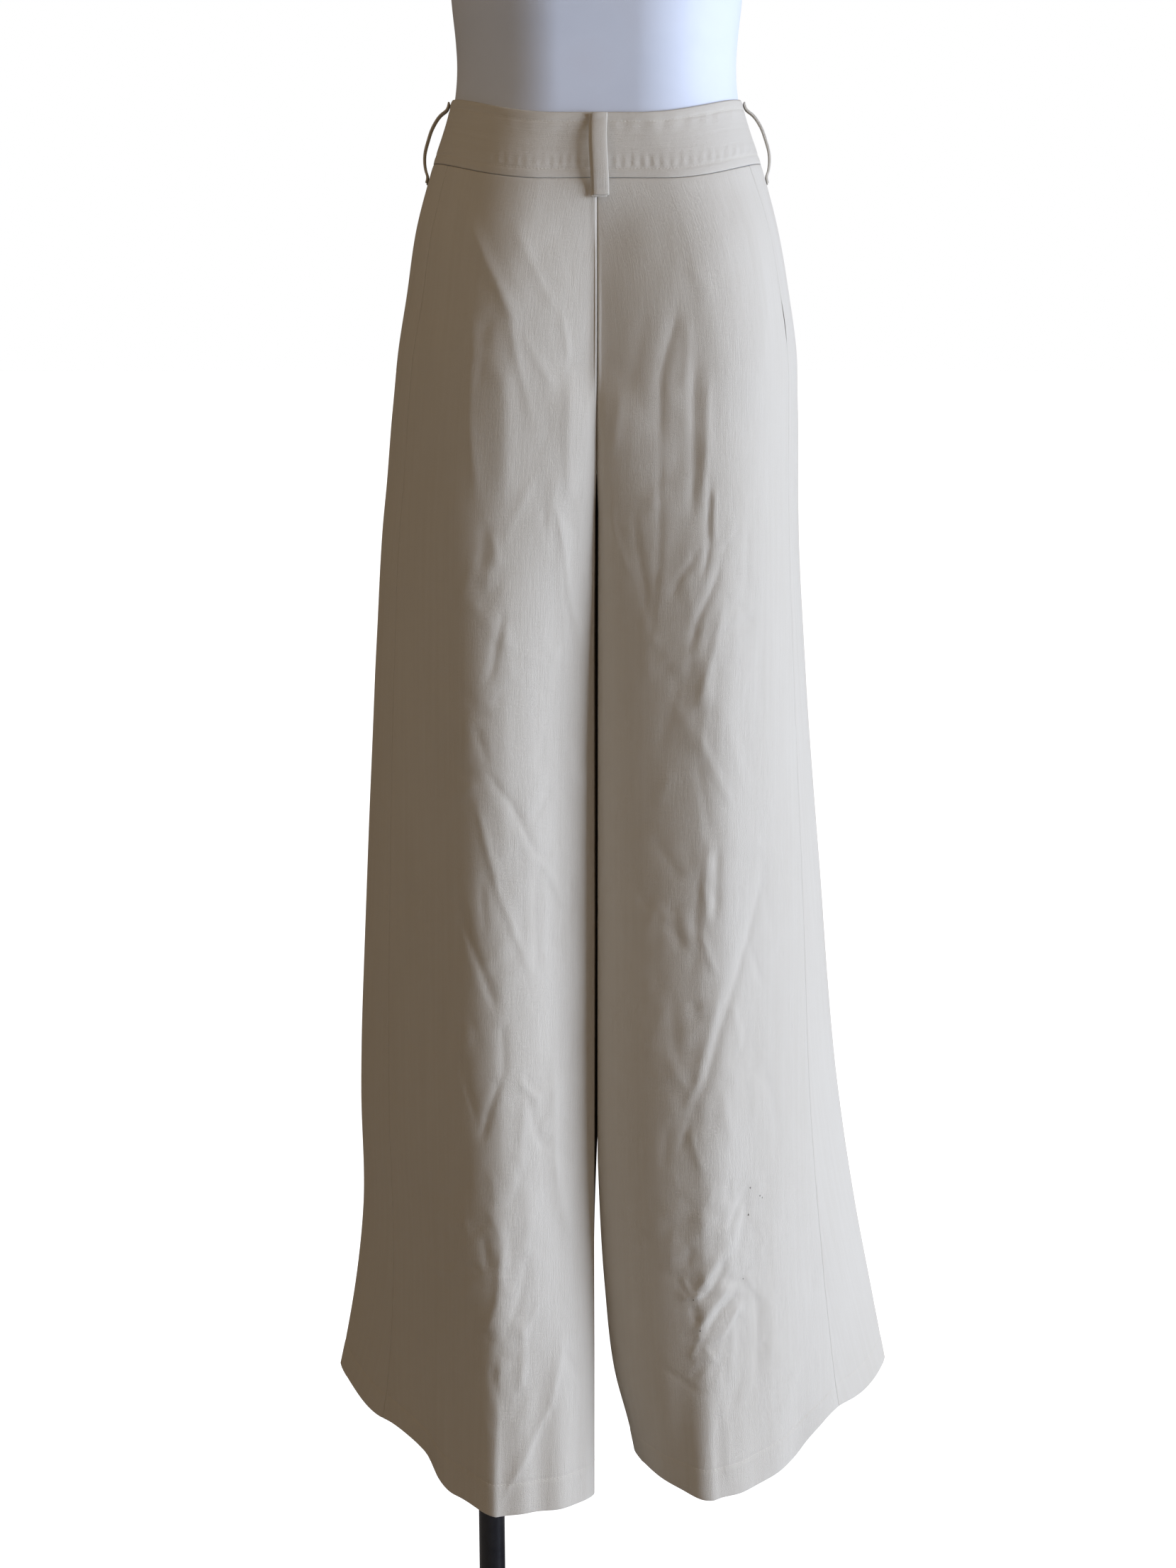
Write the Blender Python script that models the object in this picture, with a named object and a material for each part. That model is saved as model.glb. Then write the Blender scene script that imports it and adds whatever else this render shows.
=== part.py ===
"""Wide-leg trousers on a display form.

Metres, +Z up. The back of the trousers faces -Y, and the wearer's left is -X.
The origin is the centre of the base's underside.

The cloth is one smooth surface for each side of the body. A point on it is given
by a height and a station, which runs round the side like hours on a dial:

    0    the inseam, where the back panel ends
    0.5  the centre back seam, and below it the corner where the back turns in
    1    the ridge where the back stands out most
    2    the widest point of the side
    3    the ridge where the front stands out most
    3.5  the centre front seam, and below it the corner where the front turns in
    4    the inseam, where the front panel ends

From a ridge to a corner, or to the widest point, the cloth follows a quarter of a
superellipse. From a corner to the inseam it runs straight along the middle plane.
"""

import bpy
import numpy as np

# ---- Driving sizes ------------------------------------------------------------
WAIST_TOP = 1.500  # top edge of the waistband at the sides
WAIST_SEAM = 1.450  # where the waistband meets the panels, at the sides
HOOK_TOP = 1.270  # where the centre seams start to curve in under the body
CROTCH = 1.210
HEM = {"left": 0.364, "right": 0.370}  # hem height at the side
WAIST_DIP = 0.0165  # how much lower the waist is at the centre than at the sides
HEM_DIP = {"left": 0.047, "right": 0.044}  # how far the hem hangs down at the back
DIP_FADE = 1.320  # below this height the rows no longer follow the waist

CLOTH = 0.0020  # wall of the cloth
BAND_CLOTH = 0.0024  # wall of the waistband, which is folded double
TRIM_CLOTH = 0.0012
SEAM = 0.0003  # open width of every seam
LEG_GAP = 0.0012  # how far each leg stays from the middle plane
LEG_PARTING = 0.035  # the legs part to that gap over this much below the crotch
INSEAM_Y = 0.005  # the inseams lie a little in front of the body's middle
BACK_CENTRE, SIDE_SEAM, FRONT_CENTRE = 0.5, 1.62, 3.5  # stations of the seams
LAST_STATION = 4.0

LOOP_WIDTH = 0.0135
LOOP_CLOTH = 0.0018
CENTRE_LIFT = 0.0006  # the back loop bridges the shallow dip of the centre seam
SIDE_LOOP, FRONT_LOOP = 1.98, 2.62  # stations of the belt loops
LAP_STATIONS = np.array([3.375, 3.25, 3.125])  # the waistband's lap past the centre front
FRONT_HANG = 0.6  # the hem hangs down this much less at the front than at the back
WAIST_DIP_POWER = 2.5  # how narrow the waist's dip is round its centre

POLE_X = -0.100  # the pole stands off the body's centre, inside the left leg
POLE_RADIUS = 0.0125
BASE_RADIUS = 0.170
BASE_THICKNESS = 0.012
EDGE = 0.003  # bevel of the base's rim
COLLAR_RADIUS, COLLAR_HEIGHT, COLLAR_LIP = 0.024, 0.024, 0.003
SOCKET_RADIUS, SOCKET_FLANGE = 0.019, 0.032
SOCKET_ROOF, SOCKET_DEPTH = 0.006, 0.030

FORM_TOP = 1.640
FORM_SHOULDER = 1.590  # the form's top rounds over from here
FORM_HIP = 1.300  # and its underside rounds in from here
FORM_BOTTOM = 1.262
FORM_ROUND = 0.67  # how square its two rounded ends are, where 1 is an ellipse
FORM_TIP, FORM_UNDERSIDE = 0.15, 0.84  # size of the flats at its top and under it
FORM_LEVELS = (1.300, 1.322, 1.345, 1.372, 1.400, 1.425, 1.450, 1.475, 1.500, 1.526, 1.558, 1.590)

SIDES = {"left": -1.0, "right": 1.0}
FACES = {"back": (1, -1.0), "front": (1, 1.0), "left": (0, -1.0), "right": (0, 1.0)}

# ---- Sections of each leg, from the waist down --------------------------------
# wide: widest point; ridge: where the back stands out; back, front: depths there;
# inner: gap to the middle plane; outer: how square the side is, from 1 for straight;
# valley: how far the back falls in from its ridge before it meets the middle plane
LEG_COLUMNS = ("height", "wide", "ridge", "back", "front", "inner", "outer", "valley")
LEG_ROWS = {
    "left": (
        (1.520, 0.1160, 0.028, 0.0875, 0.0850, 0.000, 2.00, 0.0005),
        (1.500, 0.1190, 0.030, 0.0900, 0.0880, 0.000, 2.00, 0.0005),
        (1.450, 0.1345, 0.042, 0.1010, 0.0965, 0.000, 2.00, 0.0010),
        (1.400, 0.1490, 0.052, 0.1100, 0.1010, 0.000, 1.95, 0.0040),
        (1.345, 0.1585, 0.058, 0.1175, 0.1040, 0.000, 1.90, 0.0080),
        (1.300, 0.1665, 0.062, 0.1215, 0.1060, 0.000, 1.90, 0.0120),
        (1.250, 0.1720, 0.066, 0.1240, 0.1065, 0.000, 1.90, 0.0170),
        (1.200, 0.1760, 0.070, 0.1250, 0.1060, 0.000, 1.90, 0.0240),
        (1.150, 0.1820, 0.072, 0.1260, 0.1050, 0.000, 1.90, 0.0310),
        (1.060, 0.1895, 0.074, 0.1280, 0.1030, 0.000, 1.85, 0.0400),
        (0.850, 0.2040, 0.077, 0.1340, 0.1020, 0.000, 1.70, 0.0480),
        (0.640, 0.2150, 0.080, 0.1470, 0.1050, 0.000, 1.52, 0.0500),
        (0.525, 0.2160, 0.082, 0.1560, 0.1080, 0.000, 1.40, 0.0480),
        (0.450, 0.2250, 0.084, 0.1640, 0.1110, 0.000, 1.30, 0.0440),
        (0.400, 0.2340, 0.086, 0.1720, 0.1130, 0.000, 1.24, 0.0400),
        (0.340, 0.2470, 0.087, 0.1860, 0.1160, 0.000, 1.20, 0.0360),
    ),
    "right": (
        (1.520, 0.1160, 0.028, 0.0875, 0.0850, 0.000, 2.00, 0.0005),
        (1.500, 0.1190, 0.030, 0.0900, 0.0880, 0.000, 2.00, 0.0005),
        (1.450, 0.1355, 0.050, 0.1010, 0.0965, 0.000, 2.00, 0.0010),
        (1.400, 0.1500, 0.068, 0.1100, 0.1010, 0.000, 1.95, 0.0040),
        (1.345, 0.1610, 0.078, 0.1175, 0.1040, 0.000, 1.90, 0.0080),
        (1.300, 0.1680, 0.082, 0.1215, 0.1060, 0.000, 1.90, 0.0120),
        (1.250, 0.1700, 0.084, 0.1240, 0.1065, 0.000, 1.90, 0.0170),
        (1.200, 0.1705, 0.085, 0.1250, 0.1060, 0.000, 1.90, 0.0240),
        (1.150, 0.1725, 0.086, 0.1260, 0.1050, 0.000, 1.90, 0.0310),
        (1.060, 0.1795, 0.086, 0.1280, 0.1030, 0.000, 1.85, 0.0390),
        (0.850, 0.2000, 0.087, 0.1340, 0.1020, 0.000, 1.70, 0.0460),
        (0.640, 0.2225, 0.090, 0.1460, 0.1050, 0.001, 1.52, 0.0500),
        (0.525, 0.2420, 0.094, 0.1520, 0.1080, 0.0075, 1.42, 0.0530),
        (0.450, 0.2575, 0.098, 0.1580, 0.1110, 0.0165, 1.34, 0.0560),
        (0.400, 0.2680, 0.101, 0.1640, 0.1130, 0.029, 1.28, 0.0600),
        (0.340, 0.2805, 0.104, 0.1740, 0.1160, 0.040, 1.24, 0.0660),
    ),
}
CREASED = (1.300, 1.100, 1.5)  # from the first height to the second, the valley's power
# falls to the third: from there down it is a straight slope that ends in a pressed crease
FRONT_VALLEY = 0.6  # the front falls in this much less than the back
FRONT_POWER = 1.7  # and its side is never straighter than this

# ---- The form, which carries the waistband and stays clear of the rest ---------
FORM_COLUMNS = ("height", "wide", "ridge", "back", "front", "valley")
FORM_ROWS = (
    (1.600, 0.1195, 0.030, 0.0905, 0.0870, 0.0005),
    (1.570, 0.1170, 0.030, 0.0890, 0.0860, 0.0005),
    (1.545, 0.1145, 0.030, 0.0865, 0.0842, 0.0005),
    (1.526, 0.1137, 0.030, 0.0855, 0.0838, 0.0005),
    (1.500, 0.1160, 0.030, 0.0870, 0.0850, 0.0005),
    (1.450, 0.1315, 0.042, 0.0980, 0.0932, 0.0010),
    (1.400, 0.1455, 0.052, 0.1040, 0.0960, 0.0030),
    (1.345, 0.1540, 0.060, 0.1105, 0.0965, 0.0060),
    (1.300, 0.1600, 0.064, 0.1140, 0.0965, 0.0080),
)

# ---- Belt loops and fly ---------------------------------------------------------
# height on the waistband, and how far the loop stands off the cloth there
LOOP_PATH = (
    (1.4985, 0.0003),
    (1.4930, 0.0010),
    (1.4870, 0.0052),
    (1.4780, 0.0082),
    (1.4660, 0.0088),
    (1.4540, 0.0076),
    (1.4450, 0.0040),
    (1.4405, 0.0008),
    (1.4360, 0.0003),
)
FLY_LIFT = 0.0006  # it clears the flat triangles of the panel that it lies on
FLY_WIDTHS = (0.036, 0.036, 0.036, 0.036, 0.036, 0.034, 0.016)  # of the fly's strip, row by row

# ---- Large folds --------------------------------------------------------------
# A fold runs from (x1, z1) to (x2, z2), with x measured along Y on the left and
# right faces. It bows sideways, and rises by rise, or sinks where that is negative.
FOLD_COLUMNS = ("face", "x1", "z1", "x2", "z2", "bow", "half_width", "rise")
FOLD_ROWS = (
    # drag lines of the seat
    ("back", -0.110, 1.425, -0.020, 1.262, 0.006, 0.012, -0.0035),
    ("back", -0.090, 1.345, -0.100, 1.230, 0.004, 0.020, 0.0030),
    ("back", 0.115, 1.420, 0.060, 1.290, -0.004, 0.012, -0.0025),
    ("back", 0.030, 1.425, 0.035, 1.330, 0.003, 0.018, -0.0030),
    # upright folds below the seat
    ("back", 0.048, 1.262, 0.050, 1.105, 0.002, 0.009, -0.0030),
    ("back", 0.064, 1.270, 0.068, 1.120, 0.002, 0.008, 0.0025),
    ("back", 0.080, 1.262, 0.090, 1.140, 0.003, 0.009, -0.0025),
    ("back", 0.116, 1.175, 0.070, 1.050, 0.003, 0.009, -0.0030),
    ("back", 0.100, 1.130, 0.076, 0.985, -0.003, 0.009, 0.0025),
    ("back", -0.036, 1.200, -0.008, 1.065, 0.002, 0.009, -0.0025),
    # knees
    ("back", -0.092, 0.975, -0.012, 0.860, 0.003, 0.009, 0.0030),
    ("back", -0.098, 0.945, -0.046, 0.778, 0.003, 0.010, -0.0035),
    ("back", -0.118, 0.872, -0.078, 0.735, -0.003, 0.010, 0.0035),
    ("back", -0.078, 0.735, -0.098, 0.640, 0.003, 0.010, 0.0035),
    ("back", -0.049, 0.900, -0.049, 0.795, 0.000, 0.008, -0.0025),
    ("back", 0.138, 0.890, 0.076, 0.655, 0.005, 0.011, 0.0035),
    ("back", 0.085, 0.840, 0.148, 0.655, -0.003, 0.012, -0.0035),
    ("back", 0.130, 0.825, 0.160, 0.740, 0.000, 0.010, 0.0030),
    # snagged patch low on the right leg
    ("back", 0.080, 0.505, 0.116, 0.540, 0.000, 0.008, -0.0035),
    ("back", 0.086, 0.474, 0.122, 0.500, 0.000, 0.008, -0.0035),
    # pressed crease at the left hem
    ("back", -0.026, 0.455, -0.088, 0.330, 0.004, 0.010, -0.0030),
    # the front has like ones
    ("front", 0.112, 1.410, 0.066, 1.270, -0.004, 0.012, -0.0030),
    ("front", -0.112, 1.410, -0.062, 1.270, 0.004, 0.012, -0.0030),
    ("front", 0.070, 1.230, 0.082, 1.060, 0.003, 0.011, 0.0030),
    ("front", -0.075, 1.240, -0.092, 1.070, 0.003, 0.011, 0.0030),
    ("front", 0.050, 1.140, 0.100, 0.950, 0.004, 0.011, -0.0030),
    ("front", -0.045, 1.150, -0.090, 0.960, -0.004, 0.011, -0.0030),
    ("front", 0.130, 0.900, 0.070, 0.740, 0.005, 0.012, 0.0035),
    ("front", -0.130, 0.880, -0.075, 0.720, -0.005, 0.012, 0.0035),
    ("front", 0.075, 0.800, 0.130, 0.640, -0.003, 0.012, -0.0035),
    ("front", -0.070, 0.820, -0.120, 0.650, 0.003, 0.012, -0.0035),
    ("left", -0.020, 1.280, 0.015, 0.950, 0.006, 0.018, 0.0030),
    ("left", 0.040, 1.100, 0.010, 0.700, 0.004, 0.018, -0.0030),
    ("right", -0.020, 1.280, 0.015, 0.960, 0.006, 0.018, 0.0030),
    ("right", 0.040, 1.080, 0.010, 0.720, 0.004, 0.018, -0.0030),
)

# ---- How finely the solids are made -------------------------------------------
CORNER_STEPS, BACK_OUTER_STEPS = 5, 6
FRONT_SIDE_STEPS, FRONT_OUTER_STEPS = 3, 6
HOOK_STEPS = 6  # columns from a corner to the inseam, and rows from the hook's top to the crotch
BAND_STEPS, TRUNK_STEPS, LEG_STEPS = 2, 7, 21
FLY_STEPS = 3
FORM_END_STEPS = 4
ROUND_SIDES, BASE_SIDES = 24, 48
ARC_SAMPLES = 121
ROUND_POWER = 2.0  # of a superellipse that is an ellipse
STATION_STEP, HEIGHT_STEP = 0.02, 0.001  # for the slopes that give the surface's normals
CENTRE_MARGIN = 0.06  # a centre seam's normals are taken this many stations beside it
FACING_LOW = 0.35  # a fold ends where the cloth turns further than this from its face
FACING_POWER, FOLD_POWER = 0.7, 0.6  # how bluntly folds end at a turn and at their own ends
ROUNDING = 1e-6
SHARP_ANGLE = np.radians(50)


def table(columns, rows):
    """The rows as one array for each named column, lowest height first."""
    ordered = sorted(rows)
    return {name: np.array([row[i] for row in ordered]) for i, name in enumerate(columns)}


def smooth(height, knots, values):
    """A cubic curve through the table's rows, its slope at each taken from the two beside it."""
    slope = np.gradient(values, knots)
    i = np.clip(np.searchsorted(knots, height) - 1, 0, len(knots) - 2)
    span = knots[i + 1] - knots[i]
    t = np.clip((height - knots[i]) / span, 0.0, 1.0)
    start, end = values[i], values[i + 1]
    rise = (1 + 2 * t) * (1 - t) ** 2 * start + t**2 * (3 - 2 * t) * end
    return rise + span * (t * (1 - t) ** 2 * slope[i] - t**2 * (1 - t) * slope[i + 1])


LEGS = {side: table(LEG_COLUMNS, rows) for side, rows in LEG_ROWS.items()}
FORM = table(FORM_COLUMNS, FORM_ROWS)


def leg_sizes(side, height):
    """Every column of one leg's table at these heights."""
    leg = LEGS[side]
    size = {name: smooth(height, leg["height"], leg[name]) for name in LEG_COLUMNS[1:]}
    start, end, power = CREASED
    share = np.clip((start - height) / (start - end), 0.0, 1.0)
    return {**size, "crease": ROUND_POWER + (power - ROUND_POWER) * share}


def hooked(height):
    """The share of the way from corner to inseam that the panels reach: none above the hook,
    all from the crotch down."""
    return np.clip((HOOK_TOP - height) / (HOOK_TOP - CROTCH), 0.0, 1.0) ** 2


def middle_gap(height):
    """How far the cloth stays from the middle plane: half a seam, and more between the legs."""
    parted = np.clip((CROTCH - height) / LEG_PARTING, 0.0, 1.0)
    return SEAM / 2 + (LEG_GAP - SEAM / 2) * parted


def quarter(reach, depth, power, share):
    """Superellipse quarters, one a row, at shares of their length from (0, depth) to (reach, 0)."""
    angle = np.linspace(0.0, np.pi / 2, ARC_SAMPLES)
    bend = 2 / power[:, None]
    across = reach[:, None] * np.sin(angle) ** bend
    along = depth[:, None] * np.cos(angle) ** bend
    step = np.hypot(np.diff(across), np.diff(along))
    length = np.concatenate([np.zeros((len(reach), 1)), np.cumsum(step, axis=1)], axis=1)
    length /= length[:, -1:]
    return (
        np.array([np.interp(share, *pair) for pair in zip(length, across)]),
        np.array([np.interp(share, *pair) for pair in zip(length, along)]),
    )


def row_drop(side, height, size, x, y):
    """How far a point lies below its row. The waist dips towards the centre. The hem hangs
    down towards the ridges, and stays down between them."""
    at_back = y < 0
    height = height[:, None]
    depth = np.where(at_back, size["back"][:, None], size["front"][:, None])
    valley = np.where(at_back, 1.0, FRONT_VALLEY) * size["valley"][:, None]
    waist_share = np.clip(np.abs(y) / depth, 0.0, 1.0)
    hem_share = np.clip(np.abs(y) / np.where(x < size["ridge"][:, None], depth - valley, depth), 0.0, 1.0)
    high = np.clip((height - DIP_FADE) / (WAIST_SEAM - DIP_FADE), 0.0, 1.0)
    above = np.clip((FORM_SHOULDER - height) / (FORM_SHOULDER - WAIST_TOP), 0.0, 1.0)
    waist = WAIST_DIP * high**2 * (3 - 2 * high) * above
    low = np.clip((CROTCH - height) / (CROTCH - HEM[side]), 0.0, None)
    hang = HEM_DIP[side] * low**2 * np.where(at_back, 1.0, FRONT_HANG)
    return waist * waist_share**WAIST_DIP_POWER + hang * hem_share


def section(size, valley, run, inner, station):
    """x and y round one side: rows of sizes by columns of stations, in four quarters."""
    x = np.zeros((len(inner), len(station)))
    y = np.zeros_like(x)
    for turn in range(4):
        here = (station >= turn) & ((station < turn + 1) | (station == LAST_STATION))
        face, outwards = ("back", -1.0) if turn < 2 else ("front", 1.0)
        from_ridge = np.abs(station[here] - (1 if turn < 2 else 3))
        if turn in (0, 3):
            width, fall = size["ridge"] - inner, valley[face]
            share = from_ridge / (1 - BACK_CENTRE)
            reach, rest = quarter(width, fall, size["crease"], np.minimum(share, 1.0))
            straight = run[face][:, None] * np.maximum(share - 1.0, 0.0)
            x[:, here] = size["ridge"][:, None] - reach
            y[:, here] = outwards * ((size[face] - fall)[:, None] + rest - straight)
        else:
            width = size["wide"] - size["ridge"]
            power = size["outer"] if face == "back" else np.maximum(size["outer"], FRONT_POWER)
            reach, rest = quarter(width, size[face], power, from_ridge)
            x[:, here] = size["ridge"][:, None] + reach
            y[:, here] = outwards * rest
    return x, y


def lowered(side, height, level, size, x, y):
    """Points of a section at their levels, less what the waist and hem rows drop by."""
    z = level[:, None] - row_drop(side, height, size, x, y)
    return np.stack([SIDES[side] * x, y, z], axis=-1)


def plain_surface(side, height, station):
    """The outer surface before its folds: rows of heights by columns of stations."""
    size = leg_sizes(side, height)
    inner = np.maximum(size["inner"], middle_gap(height))
    valley = {"back": size["valley"], "front": FRONT_VALLEY * size["valley"]}
    inseam = {"back": INSEAM_Y, "front": -INSEAM_Y}
    run = {face: size[face] - valley[face] + inseam[face] for face in valley}
    x, y = section(size, valley, run, inner, station)
    return lowered(side, height, height, size, x, y)


def normals(surface, side, height, station):
    """Unit normals, from points of the surface a small step either way round and up."""
    after = surface(side, height, np.minimum(station + STATION_STEP, LAST_STATION))
    before = surface(side, height, np.maximum(station - STATION_STEP, 0.0))
    rise = surface(side, height + HEIGHT_STEP, station) - surface(side, height - HEIGHT_STEP, station)
    out = SIDES[side] * np.cross(after - before, rise)
    return out / np.linalg.norm(out, axis=-1, keepdims=True)


def fold_rise(side, points, out):
    """How far the folds lift each point. Each fold fades where the cloth turns from its face."""
    total = np.zeros(points.shape[:2])
    for row in FOLD_ROWS:
        fold = dict(zip(FOLD_COLUMNS, row))
        if fold["face"] in SIDES and fold["face"] != side:
            continue
        axis, facing = FACES[fold["face"]]
        turned_to = np.clip((facing * out[..., axis] - FACING_LOW) / (1 - FACING_LOW), 0.0, 1.0)
        across = points[..., 1 - axis] - fold["x1"]
        up = points[..., 2] - fold["z1"]
        run, drop = fold["x2"] - fold["x1"], fold["z2"] - fold["z1"]
        length = np.hypot(run, drop)
        t = np.clip((across * run + up * drop) / length**2, 0.0, 1.0)
        arch = np.maximum(np.sin(np.pi * t), 0.0)
        bowed = fold["bow"] * arch / length
        away = np.hypot(across - t * run + bowed * drop, up - t * drop - bowed * run)
        ending = turned_to**FACING_POWER * arch**FOLD_POWER
        total += fold["rise"] * ending * np.exp(-((away / fold["half_width"]) ** 2))
    return total


def outer_surface(side, height, station):
    """The outer surface with its folds, kept on its own side of the middle plane."""
    base = plain_surface(side, height, station)
    out = normals(plain_surface, side, height, station)
    points = base + fold_rise(side, base, out)[..., None] * out
    sign = SIDES[side]
    points[..., 0] = sign * np.maximum(sign * points[..., 0], middle_gap(height)[:, None])
    return points


def cloth_normals(side, height, station):
    """Normals of the outer surface. Above the hook, a centre seam takes those from beside it."""
    out = normals(outer_surface, side, height, station)
    trunk = height > HOOK_TOP - ROUNDING
    beside = np.clip(station, BACK_CENTRE + CENTRE_MARGIN, FRONT_CENTRE - CENTRE_MARGIN)
    out[trunk] = normals(outer_surface, side, height[trunk], beside)
    return out


def unit(vectors):
    return vectors / np.linalg.norm(vectors, axis=-1, keepdims=True)


# ---- Meshes -------------------------------------------------------------------
def add_object(name, vertices, triangles, material):
    """One named mesh object, turned the right way out."""
    corners = vertices[triangles]
    volume = np.einsum("ij,ij->", corners[:, 0], np.cross(corners[:, 1], corners[:, 2])) / 6
    if volume < 0:
        triangles = triangles[:, ::-1]
    mesh = bpy.data.meshes.new(name)
    mesh.from_pydata(vertices.tolist(), [], triangles.tolist())
    mesh.update()
    mesh.shade_smooth()
    mesh.set_sharp_from_angle(angle=SHARP_ANGLE)
    mesh.materials.append(material)
    made = bpy.data.objects.new(name, mesh)
    bpy.context.collection.objects.link(made)
    return made


def wall(name, outer, inner, material, present=True):
    """A closed wall between two grids of points, with the same diagonals on both faces.

    Where present is false there is no point, and a cell that lacks one corner is a triangle."""
    count = outer[..., 0].size
    index = np.where(present, np.arange(count).reshape(outer.shape[:2]), -1)
    a, b = index[:-1, :-1].ravel(), index[:-1, 1:].ravel()
    c, d = index[1:, 1:].ravel(), index[1:, :-1].ravel()
    cut = np.stack([b, c, d], 1)[a < 0]
    front = np.concatenate([np.stack([a, b, c], 1), np.stack([a, c, d], 1), cut])
    front = front[(front >= 0).all(axis=1)]
    start, end = front.ravel(), np.roll(front, -1, axis=1).ravel()
    free = ~np.isin(start * count + end, end * count + start)
    p, q = start[free], end[free]
    edge = np.concatenate([np.stack([q, p, p + count], 1), np.stack([q, p + count, q + count], 1)])
    triangles = np.concatenate([front, front[:, ::-1] + count, edge])
    used, packed = np.unique(triangles, return_inverse=True)
    vertices = np.concatenate([outer.reshape(-1, 3), inner.reshape(-1, 3)])[used]
    return add_object(name, vertices, packed.reshape(triangles.shape), material)


def ringed(name, rings, material):
    """A closed body through rings of equal counts, each end closed by a fan to its centre."""
    rings = np.asarray(rings)
    count, around = rings.shape[:2]
    index = np.arange(count * around).reshape(count, around)
    a, b = index[:-1], np.roll(index[:-1], -1, axis=1)
    c, d = np.roll(index[1:], -1, axis=1), index[1:]
    sides = np.stack([a, b, c, a, c, d], -1).reshape(-1, 3)
    first, last = count * around, count * around + 1
    start = np.stack([np.full(around, first), np.roll(index[0], -1), index[0]], 1)
    end = np.stack([np.full(around, last), index[-1], np.roll(index[-1], -1)], 1)
    centres = rings[[0, -1]].mean(axis=1)
    vertices = np.concatenate([rings.reshape(-1, 3), centres])
    return add_object(name, vertices, np.concatenate([sides, start, end]), material)


def turned(name, profile, centre_x, material, around=ROUND_SIDES):
    """A profile of (radius, height) turned about an upright axis; it starts and ends on the axis."""
    angle = np.arange(around) * 2 * np.pi / around
    circle = np.stack([np.cos(angle), np.sin(angle), np.zeros(around)], 1)
    rings = [np.array([centre_x, 0.0, z]) + radius * circle for radius, z in profile]
    return ringed(name, rings, material)


def finish(name, colour, roughness, metallic=0.0):
    made = bpy.data.materials.new(name)
    made.use_nodes = True
    shader = made.node_tree.nodes["Principled BSDF"]
    shader.inputs["Base Color"].default_value = (*colour, 1.0)
    shader.inputs["Roughness"].default_value = roughness
    shader.inputs["Metallic"].default_value = metallic
    return made


# ---- The cloth ----------------------------------------------------------------
def panel_heights(side):
    """Heights of a panel's rows, closer together where the centre seam hooks under the body."""
    trunk = np.linspace(WAIST_SEAM, HOOK_TOP, TRUNK_STEPS + 1)
    hook = HOOK_TOP - (HOOK_TOP - CROTCH) * np.sqrt(np.linspace(0.0, 1.0, HOOK_STEPS + 1)[1:])
    leg = np.linspace(CROTCH, HEM[side], LEG_STEPS + 1)[1:]
    return np.concatenate([trunk, hook, leg])


def stations(*stretches):
    """Stations along stretches of (start, end, steps) that follow one another."""
    parts = [np.linspace(start, end, steps + 1)[:-1] for start, end, steps in stretches]
    return np.append(np.concatenate(parts), stretches[-1][1])


BACK_STATIONS = stations(
    (0.0, BACK_CENTRE, HOOK_STEPS),
    (BACK_CENTRE, 1.0, CORNER_STEPS),
    (1.0, SIDE_SEAM, BACK_OUTER_STEPS),
)
FRONT_STATIONS = stations(
    (SIDE_SEAM, 2.0, FRONT_SIDE_STEPS),
    (2.0, 3.0, FRONT_OUTER_STEPS),
    (3.0, FRONT_CENTRE, CORNER_STEPS),
    (FRONT_CENTRE, LAST_STATION, HOOK_STEPS),
)
BAND_STATIONS = np.concatenate([BACK_STATIONS[HOOK_STEPS:-1], FRONT_STATIONS[:-HOOK_STEPS]])


def cloth_faces(side, height, station, thickness):
    """The two faces of the cloth: outer points, and the same moved in by its thickness."""
    outer = outer_surface(side, height, station)
    out = cloth_normals(side, height, station)
    inner = outer - thickness * out
    sign = SIDES[side]
    inner[..., 0] = sign * np.maximum(sign * inner[..., 0], SEAM / 2)
    return outer, inner, out


def panel(face, side, material):
    """One leg's back or front in one piece, from the waist seam to the hem."""
    height = panel_heights(side)
    if face == "back":
        station, edge, beside, inseam, towards = BACK_STATIONS, -1, -2, 0, -1.0
        past_corner = (BACK_CENTRE - station) / BACK_CENTRE
    else:
        station, edge, beside, inseam, towards = FRONT_STATIONS, 0, 1, -1, 1.0
        past_corner = (station - FRONT_CENTRE) / (LAST_STATION - FRONT_CENTRE)
    outer, inner, _ = cloth_faces(side, height, station, CLOTH)
    side_shift = unit(outer[:, beside] - outer[:, edge]) * SEAM / 2
    inseam_shift = np.where(height <= CROTCH, towards * SEAM / 2, 0.0)
    waist_shift = unit(outer[1] - outer[0]) * SEAM / 2
    for points in (outer, inner):
        points[:, edge] += side_shift
        points[:, inseam, 1] += inseam_shift
        points[0] += waist_shift
    present = past_corner <= hooked(height)[:, None] + ROUNDING
    return wall(f"{face}_{side}", outer, inner, material, present)


def waistband(material):
    """One strip round the waist, open at the centre front, its right end lapped over its left."""
    height = np.linspace(WAIST_TOP, WAIST_SEAM, BAND_STEPS + 1)
    around = BAND_STATIONS
    lap_out = BAND_CLOTH + SEAM
    rising = np.clip((around[1:] - 3.0) / (FRONT_CENTRE - 3.0), 0.0, 1.0)
    strips = []
    for side, station, lift in (
        ("left", around[::-1], np.zeros(len(around))),
        ("right", around[1:], lap_out * rising),
        ("left", LAP_STATIONS, np.full(len(LAP_STATIONS), lap_out)),
    ):
        outer, inner, out = cloth_faces(side, height, station, BAND_CLOTH)
        waist_shift = unit(outer[-2] - outer[-1]) * SEAM / 2
        for points in (outer, inner):
            points += lift[None, :, None] * out
            points[-1] += waist_shift
        strips.append((outer, inner))
    outer, inner = (np.concatenate(faces, axis=1) for faces in zip(*strips))
    return wall("waistband", outer, inner, material)


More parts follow.
